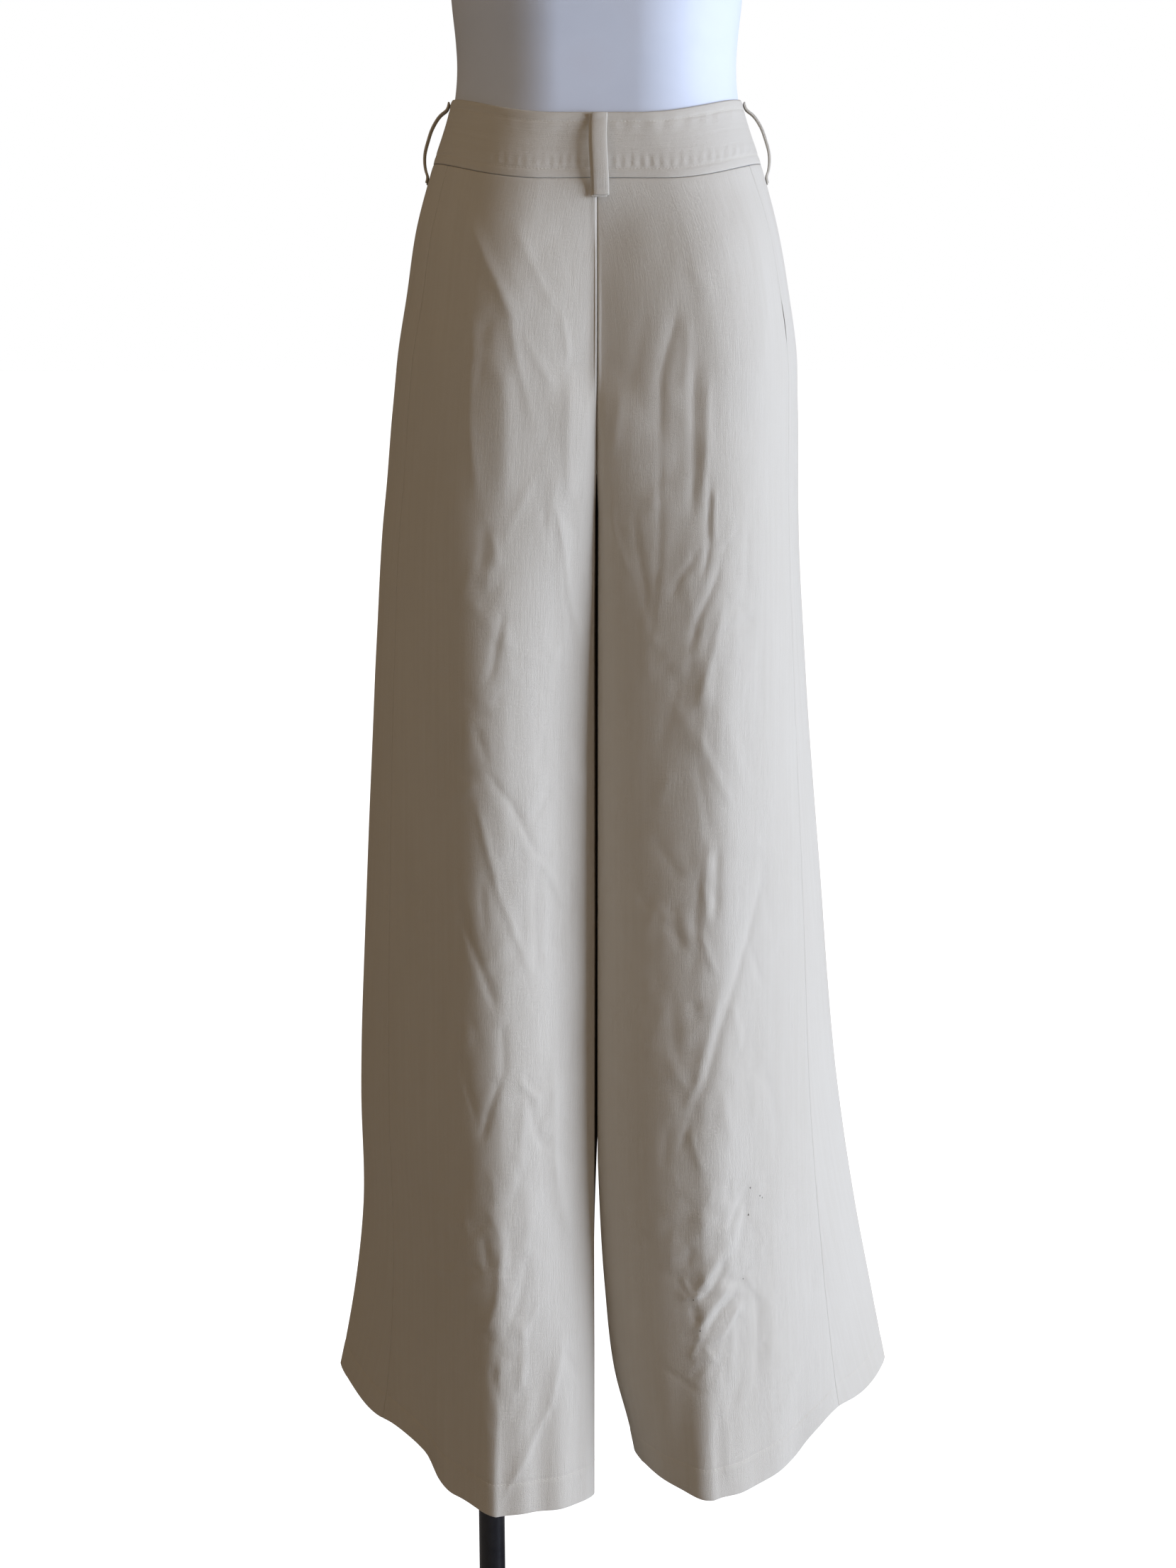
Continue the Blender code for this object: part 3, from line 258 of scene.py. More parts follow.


# %% [markdown]
# ## Folds and creases
#
# Real creases are records of how cloth was sat on, packed and hung, so they aren't
# noise: each has a place, a direction and an end. A cloth simulation would give
# believable folds, but not these ones. So each fold is a row in a table: a ridge, or a
# trough where its rise is negative, along a short path over one face of the garment.
# The solids have the same main folds, coarser and deeper. Light from one side shows a
# slope of a few degrees, so half a millimetre of rise is already a clear crease.

# %% The creases
# By the face that they lie on. All in millimetres: a path from the top down (x or y, then z),
# the half width and the rise. Crisp creases have a power near 1 and soft ones near 2. A lean
# makes the flank towards +X the wider one.
CREASE_COLUMNS = ("name", "path", "width", "rise", "power", "lean")
CREASE_ROWS = {
    "back": (
        # broad shapes
        ("seam valley",
         ((0, 1432), (0, 1385), (0, 1335), (0, 1290), (0, 1245)), 34, -6.0, 2.0, 0.0),
        ("left hip", ((-136, 1448), (-146, 1390), (-152, 1300)), 30, -3.0, 2.0, 0.0),
        ("right hip", ((126, 1442), (134, 1390), (138, 1310), (140, 1240)), 32, 4.2, 2.0, 0.0),
        ("inner hollow",
         ((-16, 1190), (-16, 1050), (-16, 900), (-16, 740), (-16, 600),
          (-16, 400)), 32, -7.0, 2.0, 0.0),
        ("left crown",
         ((-96, 1200), (-97, 1050), (-98, 900), (-98, 740), (-99, 560),
          (-100, 380)), 25, 3.0, 2.0, 0.0),
        ("right crown",
         ((101, 1180), (104, 1050), (105, 900), (106, 740), (108, 560),
          (112, 380)), 17, 2.4, 2.0, 0.0),
        # left seat: the pull from hip to crotch, and what lies under it
        ("hip pull",
         ((-99, 1441), (-108, 1422), (-101, 1400), (-90, 1378), (-80, 1357), (-70, 1336),
          (-59, 1314)), 5.5, 1.30, 1.2, -0.1),
        ("hip pull end", ((-60, 1320), (-50, 1300), (-40, 1284), (-31, 1269)), 3.6, 0.50, 1.1, 0.0),
        ("hip low",
         ((-71, 1338), (-65, 1310), (-60, 1285), (-54, 1262), (-45, 1238)), 5.0, 0.75, 1.2, 0.2),
        ("hip second", ((-67, 1403), (-53, 1374), (-39, 1346), (-28, 1325)), 6.0, 0.62, 1.3, 0.0),
        ("hip tick", ((-28, 1334), (-25, 1316), (-22, 1292)), 3.2, 0.60, 1.2, 0.0),
        ("flank streak",
         ((-131, 1342), (-131, 1308), (-127, 1280), (-121, 1252),
          (-114, 1226)), 4.4, 1.00, 1.4, 0.2),
        ("flank second",
         ((-101, 1350), (-98, 1312), (-100, 1280), (-101, 1250), (-98, 1212),
          (-95, 1176)), 4.8, 0.72, 1.5, 0.2),
        ("seat shade", ((-73, 1300), (-72, 1265), (-72, 1225), (-75, 1178)), 9.0, 0.80, 1.8, 0.0),
        ("crotch fan", ((-20, 1292), (-22, 1260), (-23, 1215), (-21, 1178)), 6.0, 0.90, 1.5, 0.3),
        # left thigh
        ("inner leg 1",
         ((-38, 1194), (-31, 1172), (-27, 1150), (-24, 1128), (-20, 1102), (-14, 1080),
          (-7, 1054)), 4.0, 1.00, 1.1, 0.4),
        ("inner leg 2", ((-32, 1152), (-29, 1122), (-26, 1095), (-22, 1066)), 3.2, 0.45, 1.2, 0.0),
        ("inner leg 3", ((-42, 1182), (-41, 1165), (-40, 1147)), 3.0, -0.45, 1.3, 0.0),
        ("thigh mark", ((-85, 1162), (-81, 1148), (-79, 1131)), 4.0, 0.55, 1.3, -0.3),
        ("thigh line",
         ((-74, 1104), (-77, 1085), (-81, 1068), (-84, 1050), (-90, 1034)), 3.0, -0.75, 1.1, -0.2),
        # right seat and thigh: upright folds
        ("seat bound",
         ((102, 1443), (111, 1422), (117, 1402), (124, 1382), (130, 1358), (133, 1332), (131, 1304),
          (126, 1272)), 4.8, 0.90, 1.2, -0.4),
        ("upright 0", ((19, 1272), (16, 1246), (12, 1218)), 4.2, 0.45, 1.5, 0.0),
        ("upright 1",
         ((63, 1345), (60, 1322), (55, 1303), (51, 1285), (50, 1262),
          (50, 1220)), 4.4, -0.90, 1.1, -0.1),
        ("upright 1 low",
         ((50, 1245), (50, 1190), (50, 1150), (48, 1118), (45, 1090),
          (40, 1056)), 3.2, -0.50, 1.2, 0.0),
        ("upright 2",
         ((78, 1306), (76, 1275), (76, 1245), (77, 1215), (76, 1190),
          (75, 1160)), 3.6, -0.90, 1.1, 0.2),
        ("upright 2 rise",
         ((88, 1292), (87, 1260), (87, 1230), (85, 1200), (83, 1170)), 3.6, 0.85, 1.1, -0.2),
        ("upright 3",
         ((90, 1204), (90, 1182), (89, 1165), (89, 1148), (86, 1130),
          (82, 1116)), 2.4, -1.00, 1.1, 0.0),
        ("upright 3 rise", ((94, 1200), (93, 1175), (94, 1150)), 2.4, 0.65, 1.1, 0.0),
        ("upright 4", ((71, 1332), (71, 1300), (68, 1266)), 4.2, 0.45, 1.5, 0.0),
        ("thigh bright",
         ((101, 1146), (95, 1122), (88, 1105), (82, 1092), (78, 1075),
          (73, 1056)), 3.4, -1.00, 1.1, -0.1),
        ("thigh band",
         ((104, 1112), (98, 1086), (93, 1062), (87, 1038), (80, 1010)), 4.2, 1.00, 1.1, 0.2),
        ("thigh cross 1", ((83, 1150), (73, 1133), (64, 1119), (61, 1102)), 2.8, -0.55, 1.1, 0.0),
        ("thigh cross 2", ((116, 1171), (107, 1153), (96, 1141)), 3.0, -0.55, 1.2, 0.0),
        ("thigh tick", ((122, 1168), (121, 1138), (122, 1108)), 2.6, -0.50, 1.2, 0.0),
        ("thigh x 1", ((13, 1188), (13, 1162), (19, 1143), (31, 1120)), 3.2, 0.60, 1.2, 0.0),
        ("thigh x 2", ((30, 1184), (32, 1152), (38, 1120), (42, 1084)), 3.2, -0.55, 1.3, 0.0),
        ("outer thigh", ((136, 1080), (134, 1045), (131, 1010)), 4.0, -0.50, 1.4, 0.0),
        # behind the left knee
        ("knee 0", ((-98, 1008), (-93, 988), (-87, 970)), 3.0, -0.50, 1.2, 0.0),
        ("knee 1",
         ((-93, 974), (-82, 955), (-73, 942), (-65, 930), (-57, 912), (-49, 896),
          (-42, 886)), 3.0, -0.80, 1.1, 0.0),
        ("knee 1 on",
         ((-51, 892), (-40, 881), (-33, 868), (-27, 852), (-19, 840)), 2.8, 0.60, 1.1, 0.0),
        ("knee 1 down", ((-48, 890), (-50, 860), (-50, 825), (-47, 784)), 4.0, -0.75, 1.1, 0.3),
        ("knee 2",
         ((-103, 955), (-96, 932), (-91, 910), (-86, 888), (-81, 868), (-75, 850), (-68, 830),
          (-60, 808), (-51, 782)), 3.6, 0.95, 1.1, 0.2),
        ("knee 3",
         ((-119, 876), (-112, 846), (-105, 824), (-98, 806), (-92, 790), (-85, 768),
          (-78, 750)), 3.8, -1.00, 1.1, 0.2),
        ("knee side", ((-95, 876), (-93, 850), (-91, 826)), 2.6, -0.45, 1.2, 0.0),
        ("knee 3 down", ((-80, 758), (-78, 735), (-78, 718), (-79, 700)), 3.4, -1.25, 1.1, 0.0),
        ("knee 3 fall",
         ((-78, 710), (-85, 690), (-90, 674), (-94, 658), (-98, 644)), 3.4, -1.10, 1.1, -0.1),
        ("knee 4",
         ((-122, 752), (-115, 722), (-110, 700), (-104, 678), (-97, 653)), 3.2, -0.70, 1.1, 0.4),
        ("knee 5", ((-67, 708), (-60, 695), (-53, 687), (-45, 682)), 2.4, 0.70, 1.1, 0.0),
        ("knee 6", ((-58, 694), (-54, 672), (-49, 652), (-42, 632)), 3.6, -0.70, 1.2, 0.0),
        ("knee 7", ((-59, 690), (-62, 665), (-64, 640), (-61, 608)), 3.8, 0.55, 1.3, 0.0),
        # left shin and hem
        ("roll edge",
         ((-35, 735), (-35, 680), (-34, 640), (-31, 605), (-26, 575), (-20, 555),
          (-12, 536)), 9.0, 1.80, 1.3, 0.6),
        ("shin 1", ((-89, 628), (-86, 600), (-87, 572)), 4.2, 0.50, 1.4, 0.0),
        ("shin 2", ((-94, 568), (-94, 548), (-92, 530)), 3.0, -0.60, 1.2, 0.0),
        ("shin fall 1",
         ((-79, 564), (-82, 535), (-84, 512), (-89, 492), (-97, 468)), 4.6, 1.00, 1.2, 0.3),
        ("shin fall 2", ((-60, 548), (-62, 522), (-68, 500), (-77, 478)), 4.6, -0.80, 1.3, 0.0),
        ("shin 3", ((-65, 494), (-63, 465), (-64, 445), (-67, 422)), 3.4, 0.70, 1.2, 0.0),
        ("shin 4",
         ((-82, 484), (-84, 460), (-88, 440), (-84, 420), (-79, 405)), 4.4, -0.80, 1.2, 0.2),
        ("left press",
         ((-26, 480), (-31, 450), (-36, 425), (-42, 404), (-52, 386), (-61, 366), (-70, 350),
          (-79, 335), (-89, 314)), 4.2, 1.05, 1.1, -0.3),
        # behind the right knee
        ("right knee 0",
         ((79, 1008), (86, 990), (92, 976), (98, 962), (105, 948),
          (115, 930)), 3.6, 0.60, 1.2, 0.0),
        ("blade left",
         ((93, 914), (91, 890), (90, 868), (91, 850), (90, 830)), 2.8, 0.85, 1.1, 0.2),
        ("blade right", ((100, 910), (99, 880), (99, 860), (97, 836)), 2.8, -1.00, 1.1, 0.0),
        ("blade shade", ((84, 884), (84, 860), (82, 842), (85, 820)), 3.2, -0.60, 1.1, 0.0),
        ("right ridge", ((84, 836), (90, 820), (95, 806), (102, 790)), 2.8, 0.70, 1.1, 0.0),
        ("right long",
         ((128, 916), (136, 892), (140, 876), (136, 858), (131, 838), (126, 820), (121, 804),
          (116, 786), (110, 768), (104, 748), (99, 728), (95, 712), (91, 698), (85, 684),
          (77, 664)), 4.6, -1.20, 1.1, -0.2),
        ("right long rise",
         ((105, 796), (101, 772), (96, 750), (92, 730), (88, 712), (83, 696), (77, 682),
          (71, 664)), 3.8, 0.90, 1.1, 0.0),
        ("right tail", ((79, 670), (75, 652), (69, 636)), 2.6, -0.55, 1.2, 0.0),
        ("right branch 1", ((139, 872), (145, 842), (153, 812)), 3.2, -0.60, 1.2, 0.3),
        ("right branch 2", ((128, 820), (134, 797), (143, 773)), 2.8, -0.65, 1.1, 0.2),
        ("right branch 3", ((111, 771), (117, 752), (120, 738), (118, 720)), 3.2, 0.70, 1.2, -0.3),
        ("right shin 1", ((79, 662), (84, 640), (91, 620)), 3.2, 0.70, 1.2, 0.0),
        ("right shin 2", ((103, 704), (107, 680), (111, 660), (115, 636)), 4.2, 0.55, 1.3, 0.0),
        ("right shin 3", ((129, 720), (134, 695), (135, 675), (130, 650)), 4.2, 0.50, 1.4, 0.0),
        ("right shin 4",
         ((141, 716), (147, 688), (154, 660), (157, 640), (151, 612)), 4.2, -0.65, 1.3, 0.2),
        ("outer knee", ((157, 944), (166, 908), (173, 885), (180, 858)), 4.2, 0.60, 1.3, 0.0),
        # the snagged patch: two picked spots, and the streaks that the pulled threads make
        ("snag top", ((133, 609), (125, 594), (118, 582), (110, 564)), 3.2, -0.85, 1.2, 0.0),
        ("snag top shade", ((130, 603), (127, 580), (125, 560), (118, 540)), 3.4, -0.75, 1.2, 0.0),
        ("snag thread 1", ((97, 616), (97, 603), (95, 590)), 3.0, 0.60, 1.2, 0.0),
        ("snag thread 2", ((111, 616), (111, 603), (112, 590)), 3.0, -0.60, 1.2, 0.0),
        ("snag ray 1",
         ((111, 546), (107, 530), (100, 517), (93, 508), (86, 501)), 4.2, -1.75, 1.1, 0.0),
        ("snag ray 1 rise", ((106, 549), (97, 532), (89, 518), (82, 508)), 3.2, 1.10, 1.1, 0.0),
        ("snag ray 2",
         ((123, 510), (113, 500), (105, 492), (99, 482), (94, 468)), 4.2, -1.75, 1.1, 0.0),
        ("snag ray 2 rise",
         ((120, 526), (108, 510), (98, 497), (90, 482), (85, 467)), 3.2, 1.10, 1.1, 0.0),
        ("snag end", ((126, 503), (118, 488), (112, 478), (103, 466)), 3.2, 1.10, 1.1, 0.0),
        ("snag tail 1", ((91, 468), (98, 457), (106, 445)), 2.2, 0.75, 1.1, 0.0),
        ("snag tail 2", ((89, 470), (85, 460), (81, 450)), 2.0, 0.60, 1.1, 0.0),
        ("snag fan 1", ((73, 528), (79, 516), (85, 506)), 2.2, 0.80, 1.1, 0.0),
        ("snag fan 2", ((74, 506), (80, 508), (87, 508)), 2.0, 0.60, 1.1, 0.0),
        ("snag under", ((84, 502), (85, 492), (88, 482)), 3.0, -0.90, 1.2, 0.0),
        ("snag light", ((117, 486), (118, 468), (117, 450), (115, 420)), 4.2, 0.90, 1.3, 0.3),
        ("snag band 1",
         ((138, 520), (140, 490), (141, 465), (141, 440), (142, 410)), 4.2, -1.00, 1.2, 0.2),
        ("snag band 2", ((149, 504), (153, 480), (154, 455), (151, 426)), 4.2, 0.80, 1.3, 0.0),
        ("snag line", ((127, 527), (138, 507), (150, 490)), 2.6, 0.70, 1.1, 0.0),
        ("snag knot 1", ((90, 513), (87, 510), (84, 507)), 1.8, 1.25, 1.1, 0.0),
        ("snag knot 2", ((93, 475), (90, 472), (87, 468)), 1.8, 1.25, 1.1, 0.0),
        # right hem
        ("right press",
         ((106, 456), (109, 424), (111, 400), (114, 378), (115, 356),
          (114, 326)), 5.0, 1.00, 1.1, 0.0),
        ("right outer", ((204, 512), (211, 462), (216, 425), (219, 392)), 4.0, -0.70, 1.3, 0.0),
        ("right slit", ((194, 506), (193, 490), (194, 474)), 1.8, -0.60, 1.2, 0.0),
    ),
    "front": (
        ("front lap 1", ((112, 1410), (88, 1345), (66, 1270)), 12.0, -1.20, 2.0, 0.0),
        ("front lap 2", ((-112, 1410), (-86, 1340), (-62, 1270)), 12.0, -1.20, 2.0, 0.0),
        ("front lap 3", ((100, 1300), (70, 1262), (30, 1240)), 5.0, -0.80, 1.3, 0.0),
        ("front lap 4", ((-104, 1296), (-74, 1262), (-34, 1243)), 5.0, -0.80, 1.3, 0.0),
        ("front lap 5", ((70, 1240), (46, 1205), (16, 1180)), 4.5, 0.70, 1.2, 0.0),
        ("front lap 6", ((-64, 1236), (-40, 1203), (-14, 1182)), 4.5, 0.70, 1.2, 0.0),
        ("front thigh 1", ((70, 1230), (78, 1150), (82, 1060)), 11.0, 1.40, 1.8, 0.0),
        ("front thigh 2", ((-75, 1240), (-86, 1150), (-92, 1070)), 11.0, 1.40, 1.8, 0.0),
        ("front thigh 3", ((50, 1140), (78, 1040), (100, 950)), 8.0, -1.10, 1.4, 0.0),
        ("front thigh 4", ((-45, 1150), (-72, 1050), (-90, 960)), 8.0, -1.10, 1.4, 0.0),
        ("front knee 1", ((130, 905), (100, 850), (64, 800)), 5.0, 0.90, 1.2, 0.0),
        ("front knee 2", ((-134, 905), (-96, 852), (-58, 806)), 5.0, 0.90, 1.2, 0.0),
        ("front knee 3", ((62, 830), (88, 775), (94, 710)), 4.5, -0.90, 1.1, 0.0),
        ("front knee 4", ((-60, 830), (-80, 775), (-100, 715)), 4.5, -0.90, 1.1, 0.0),
        ("front knee 5", ((75, 800), (104, 720), (130, 640)), 7.0, -1.00, 1.4, 0.0),
        ("front knee 6", ((-70, 820), (-98, 735), (-120, 650)), 7.0, -1.00, 1.4, 0.0),
        ("front shin 1", ((110, 640), (94, 580), (104, 520)), 6.0, 0.80, 1.4, 0.0),
        ("front shin 2", ((-106, 650), (-90, 590), (-100, 530)), 6.0, 0.80, 1.4, 0.0),
        ("front hem 1", ((84, 500), (96, 440), (90, 380)), 7.0, 0.80, 1.4, 0.0),
        ("front hem 2", ((-70, 490), (-82, 430), (-74, 376)), 7.0, -0.80, 1.4, 0.0),
    ),
    "left": (
        ("left side 1", ((-20, 1280), (6, 1120), (15, 950)), 16.0, 1.60, 2.0, 0.0),
        ("left side 2", ((40, 1100), (30, 900), (10, 700)), 16.0, -1.60, 2.0, 0.0),
        ("left side 3", ((-50, 800), (-62, 640), (-58, 480)), 12.0, -1.20, 1.8, 0.0),
    ),
    "right": (
        ("right side 1", ((-20, 1280), (6, 1120), (15, 960)), 16.0, 1.60, 2.0, 0.0),
        ("right side 2", ((40, 1080), (30, 900), (10, 720)), 16.0, -1.60, 2.0, 0.0),
        ("right side 3", ((-46, 780), (-58, 630), (-52, 500)), 12.0, -1.20, 1.8, 0.0),
    ),
}
FACING_LOW, FACING_POWER = 0.35, 0.7


def facing(face, normals):
    """1 where the cloth faces the fold's own side, fading to 0 where it has turned away."""
    axis, way = FACES[face]
    turned_to = np.clip((way * normals[..., axis] - FACING_LOW) / (1 - FACING_LOW), 0.0, 1.0)
    return turned_to**FACING_POWER


# %% How a crease moves the cloth
TAPER = 0.26  # the share of a crease's length over which each end fades
SOFT, CRISP_END, SOFT_END = 1.5, 2.4, 3.2  # the power of a soft crease, and ends in widths
LEANING = 0.6
CRISPER, BROAD = 1.25, 0.010  # how much stronger the creases narrower than this are made
PATH_STEPS = 28


def along(path, count):
    """A smooth path through a few points: each coordinate is a cubic in the path's length."""
    path = np.asarray(path, float)
    length = lengths(path)
    at = np.linspace(0.0, length[-1], count)
    return np.stack([smooth(at, length, path[:, i]) for i in range(path.shape[1])], 1)


def near_path(x, z, path, reach):
    """For points within reach of a path: where they are, signed distance and share along."""
    low, high = path.min(axis=0) - reach, path.max(axis=0) + reach
    near = np.nonzero((x > low[0]) & (x < high[0]) & (z > low[1]) & (z < high[1]))
    px, pz = x[near][:, None], z[near][:, None]
    (x0, z0), (run, drop) = path[:-1].T, np.diff(path, axis=0).T
    squared = run**2 + drop**2
    t = np.clip(((px - x0) * run + (pz - z0) * drop) / squared, 0.0, 1.0)
    dx, dz = px - x0 - t * run, pz - z0 - t * drop
    apart = np.hypot(dx, dz)
    best = apart.argmin(axis=1)
    row = np.arange(len(best))
    side = np.sign(run[best] * dz[row, best] - drop[best] * dx[row, best])
    return near, side * apart[row, best], (best + t[row, best]) / len(squared)


def crease_heights(x, z, path, width, rise, power, lean):
    """Crisp: rise x (1 - distance / 2.4 widths)^2, two flanks that meet in a line. Soft, from
    power 1.5: rise x exp(-(distance / width)^power). Both taper off at the path's ends."""
    near, distance, share = near_path(x, z, path, SOFT_END * width)
    wide = width * (1 + LEANING * lean * np.sign(distance))
    away = np.abs(distance / wide)
    ends = np.clip(np.minimum(share, 1 - share) / TAPER, 0.0, 1.0)
    crisp = np.clip(1 - away / CRISP_END, 0.0, 1.0) ** 2
    shape = np.exp(-(away**power)) if power >= SOFT else crisp
    return near, rise * ends * ends * (3 - 2 * ends) * shape


def hand_creases(side, points, normals):
    """The sum of this side's creases. One on the middle line belongs to both sides."""
    total = np.zeros(points.shape[:2])
    for face in FACES:
        if face in SIDES and face != side:
            continue
        across, weight = points[..., 1 - FACES[face][0]], facing(face, normals)
        for row in CREASE_ROWS[face]:
            crease = dict(zip(CREASE_COLUMNS, row))
            path = along(np.array(crease["path"]) / 1000, PATH_STEPS)
            if face not in SIDES and SIDES[side] * path[:, 0].mean() < -1e-6:
                continue
            width, rise = crease["width"] / 1000, crease["rise"] / 1000
            rise *= CRISPER if width < BROAD else 1.0
            near, height = crease_heights(
                across, points[..., 2], path, width, rise, crease["power"], crease["lean"]
            )
            total[near] += weight[near] * height
    return total


print({face: len(rows) for face, rows in CREASE_ROWS.items()}, "creases")

# %% [markdown]
# ## Small crumples
#
# Between the named creases, worn cloth is never quite flat. Many short, shallow creases
# with seeded places do that: a table says how many lie in which patch, how long, how
# wide and how high. They are denser behind the knees and low on the legs, because that
# is where these trousers were folded.

# %% Seeded crumples
CRUMPLE_COLUMNS = ("x1", "x2", "z1", "z2", "count", "length", "width", "rise")
CRUMPLE_ROWS = (
    (0.010, 0.150, 1.180, 1.400, 26, 0.070, 0.0080, 0.00030),
    (0.010, 0.160, 0.960, 1.200, 40, 0.060, 0.0055, 0.00037),
    (0.010, 0.175, 0.640, 0.960, 56, 0.055, 0.0050, 0.00043),
    (0.020, 0.190, 0.400, 0.640, 52, 0.046, 0.0050, 0.00043),
    (0.070, 0.150, 0.440, 0.600, 26, 0.026, 0.0032, 0.00042),
    (0.160, 0.250, 0.380, 0.700, 22, 0.060, 0.0070, 0.00026),
)
LEAN_SPREAD = 0.55  # how far, in radians, most crumples lean from upright
LENGTHS, WIDTHS, RISES, POWERS = (0.4, 1.3), (0.7, 1.5), (0.5, 1.5), (1.3, 2.0)  # least, most


def crumples(side, face, points, normals, seed):
    """Short straight creases: seeded middles, mostly upright headings, rises of both signs."""
    dice = np.random.default_rng(seed)
    total = np.zeros(points.shape[:2])
    weight = facing(face, normals)
    for row in CRUMPLE_ROWS:
        patch = dict(zip(CRUMPLE_COLUMNS, row))
        count = patch["count"]
        x = SIDES[side] * dice.uniform(patch["x1"], patch["x2"], count)
        z = dice.uniform(patch["z1"], patch["z2"], count)
        lean = dice.normal(0.0, LEAN_SPREAD, count)
        half = patch["length"] * dice.uniform(*LENGTHS, count) / 2
        wide = patch["width"] * dice.uniform(*WIDTHS, count)
        rise = patch["rise"] * dice.choice([-1.0, 1.0], count) * dice.uniform(*RISES, count)
        power = dice.uniform(*POWERS, count)
        for i in range(count):
            way = np.array([math.sin(lean[i]), -math.cos(lean[i])])
            middle = np.array([x[i], z[i]])
            path = middle + np.linspace(-half[i], half[i], 4)[:, None] * way
            near, height = crease_heights(
                points[..., 0], points[..., 2], path, wide[i], rise[i], power[i], 0.0
            )
            total[near] += weight[near] * height
    return total


# %% [markdown]
# ## Slow waves, the press line and the seams
#
# Three more things shape the cloth. Wide trousers swing in slow upright waves. Each leg
# was pressed along its middle, and what is left of that is a soft ridge at station 1 over
# the last centimetres above the hem. And along every seam and row of stitches the cloth
# is pulled in by a fraction of a millimetre, which is what makes a seam read as a seam.

# %% Waves, press line and pull of the stitches
HEM_STITCH, BAND_STITCH = 0.0235, 0.0071  # how far each row of stitches is from its edge
ROLL, ROLL_WIDTH = 0.0007, 0.0016  # how deep and how far a seam's edge rolls in
CENTRE_FOLD = {"left": 0.0005, "right": 0.0}  # how far the edge at the centre back stands up
PRESS, PRESS_WIDTH, PRESS_TOP, PRESS_FADE = 0.0005, 0.007, 0.46, 0.08
HEM_PULL, HEM_PULL_WIDTH, HEM_DOUBLE = 0.00035, 0.0018, 0.00025  # the hem is double above
HEM_PUCKER, HEM_PUCKER_TURNS, HEM_PUCKER_WIDTH = 0.00010, 260.0, 0.006
WAVE, WAVE_TOP, WAVE_FADE = 0.0007, 1.15, 0.7  # the waves grow downwards from here
UP_SHARE, UP_LENGTH, UP_DRIFT = 0.5, 0.31, 9.0  # the wave up the leg
HEM_WAVE_TOP, HEM_WAVE_FADE = 0.47, 0.12
HEM_SHARE, HEM_LENGTH, HEM_PHASE, HEM_UNEVEN = 1.6, 0.041, 2.0, (6.0, 9.0)
WAVE_COLUMNS = ("share", "length", "drift", "phase")
WAVE_ROWS = ((0.9, 0.093, 5.0, 1.3), (0.6, 0.057, -7.0, 0.4))


def slow_waves(points, normals):
    """Sines round the leg, their phases drifting with height, one up the leg, and a shorter,
    uneven one that grows towards the hem."""
    x, y, z = points[..., 0], points[..., 1], points[..., 2]
    around = np.where(np.abs(normals[..., 1]) > 0.5, x, y)
    total = 0.0
    for row in WAVE_ROWS:
        wave = dict(zip(WAVE_COLUMNS, row))
        turns = 2 * np.pi * around / wave["length"]
        total = total + wave["share"] * np.sin(turns + wave["drift"] * z + wave["phase"])
    total += UP_SHARE * np.sin(2 * np.pi * z / UP_LENGTH + UP_DRIFT * around)
    hem = np.clip((HEM_WAVE_TOP - z) / HEM_WAVE_FADE, 0.0, 1.0)
    uneven = HEM_UNEVEN[0] * np.sin(HEM_UNEVEN[1] * around)
    total += HEM_SHARE * hem * np.sin(2 * np.pi * around / HEM_LENGTH + HEM_PHASE + uneven)
    low = np.clip((WAVE_TOP - z) / WAVE_FADE, 0.0, 1.0)
    return WAVE * low * np.abs(normals[..., 1]) ** 2 * total


def press_line(side, height, station, points):
    """A ridge that falls off as exp(-distance / width) on both sides of station 1."""
    ridge = SIDES[side] * leg_sizes(side, height)["ridge"][:, None]
    strength = np.clip((PRESS_TOP - height) / PRESS_FADE, 0.0, 1.0)[:, None]
    apart = np.abs(points[..., 0] - ridge)
    shape = PRESS * strength * np.exp(-apart / PRESS_WIDTH)
    return np.where((station > BACK_CENTRE) & (station < SIDE_SEAM), shape, 0.0)


def pull(distance, depth, width):
    """A groove of this depth, exp(-(distance / width)^2), along a row of stitches."""
    return -depth * np.exp(-((distance / width) ** 2))


def hem_pull(side, height, station):
    """The stitched line above the hem, with faint puckers between the stitches."""
    above = (height - HEM[side])[:, None] - HEM_STITCH
    near = np.exp(-((above / HEM_PUCKER_WIDTH) ** 2))
    pucker = HEM_PUCKER * np.sin(station * HEM_PUCKER_TURNS) * near
    return pull(above, HEM_PULL, HEM_PULL_WIDTH) + pucker + HEM_DOUBLE * (above < -0.0004)


# %% The hems' uneven edges
HEM_FADE = 0.09
HEM_COLUMNS = ("x", "lift")  # how far the back's edge is from the plain one, in millimetres
HEM_ROWS = {
    "left": (
        (0, 0), (20, -1), (60, 1), (95, 0), (118, -1), (131, -2), (140, 2), (149, 14), (158, 17),
        (170, 17), (184, 13), (198, 6), (212, 2), (230, 0), (300, 0),
    ),
    "right": (
        (0, 10), (40, 10), (50, 8), (62, 6), (72, 4), (82, 2), (94, 0), (110, 0), (130, -3),
        (150, -4), (168, -3), (180, 0), (190, 6), (200, 10), (212, 13), (223, 12), (240, 6),
        (264, 0), (320, 0),
    ),
}


def hem_edge(side, height, x):
    """The lift at each x, fading as a squared share over the 9 cm above the hem."""
    hem = by_column(HEM_COLUMNS, HEM_ROWS[side])
    share = np.clip(1 - (height - HEM[side]) / HEM_FADE, 0.0, 1.0)[:, None]
    return smooth(np.abs(x), hem["x"] / 1000, hem["lift"] / 1000) * share**2


# %% Rows and columns of the grids
def stretches(*rows):
    """Values along (start, end, step) stretches that follow one another."""
    parts = []
    for start, end, step in rows:
        count = max(1, round(abs(end - start) / step))
        parts.append(np.linspace(start, end, count + 1)[:-1])
    return np.append(np.concatenate(parts), rows[-1][1])


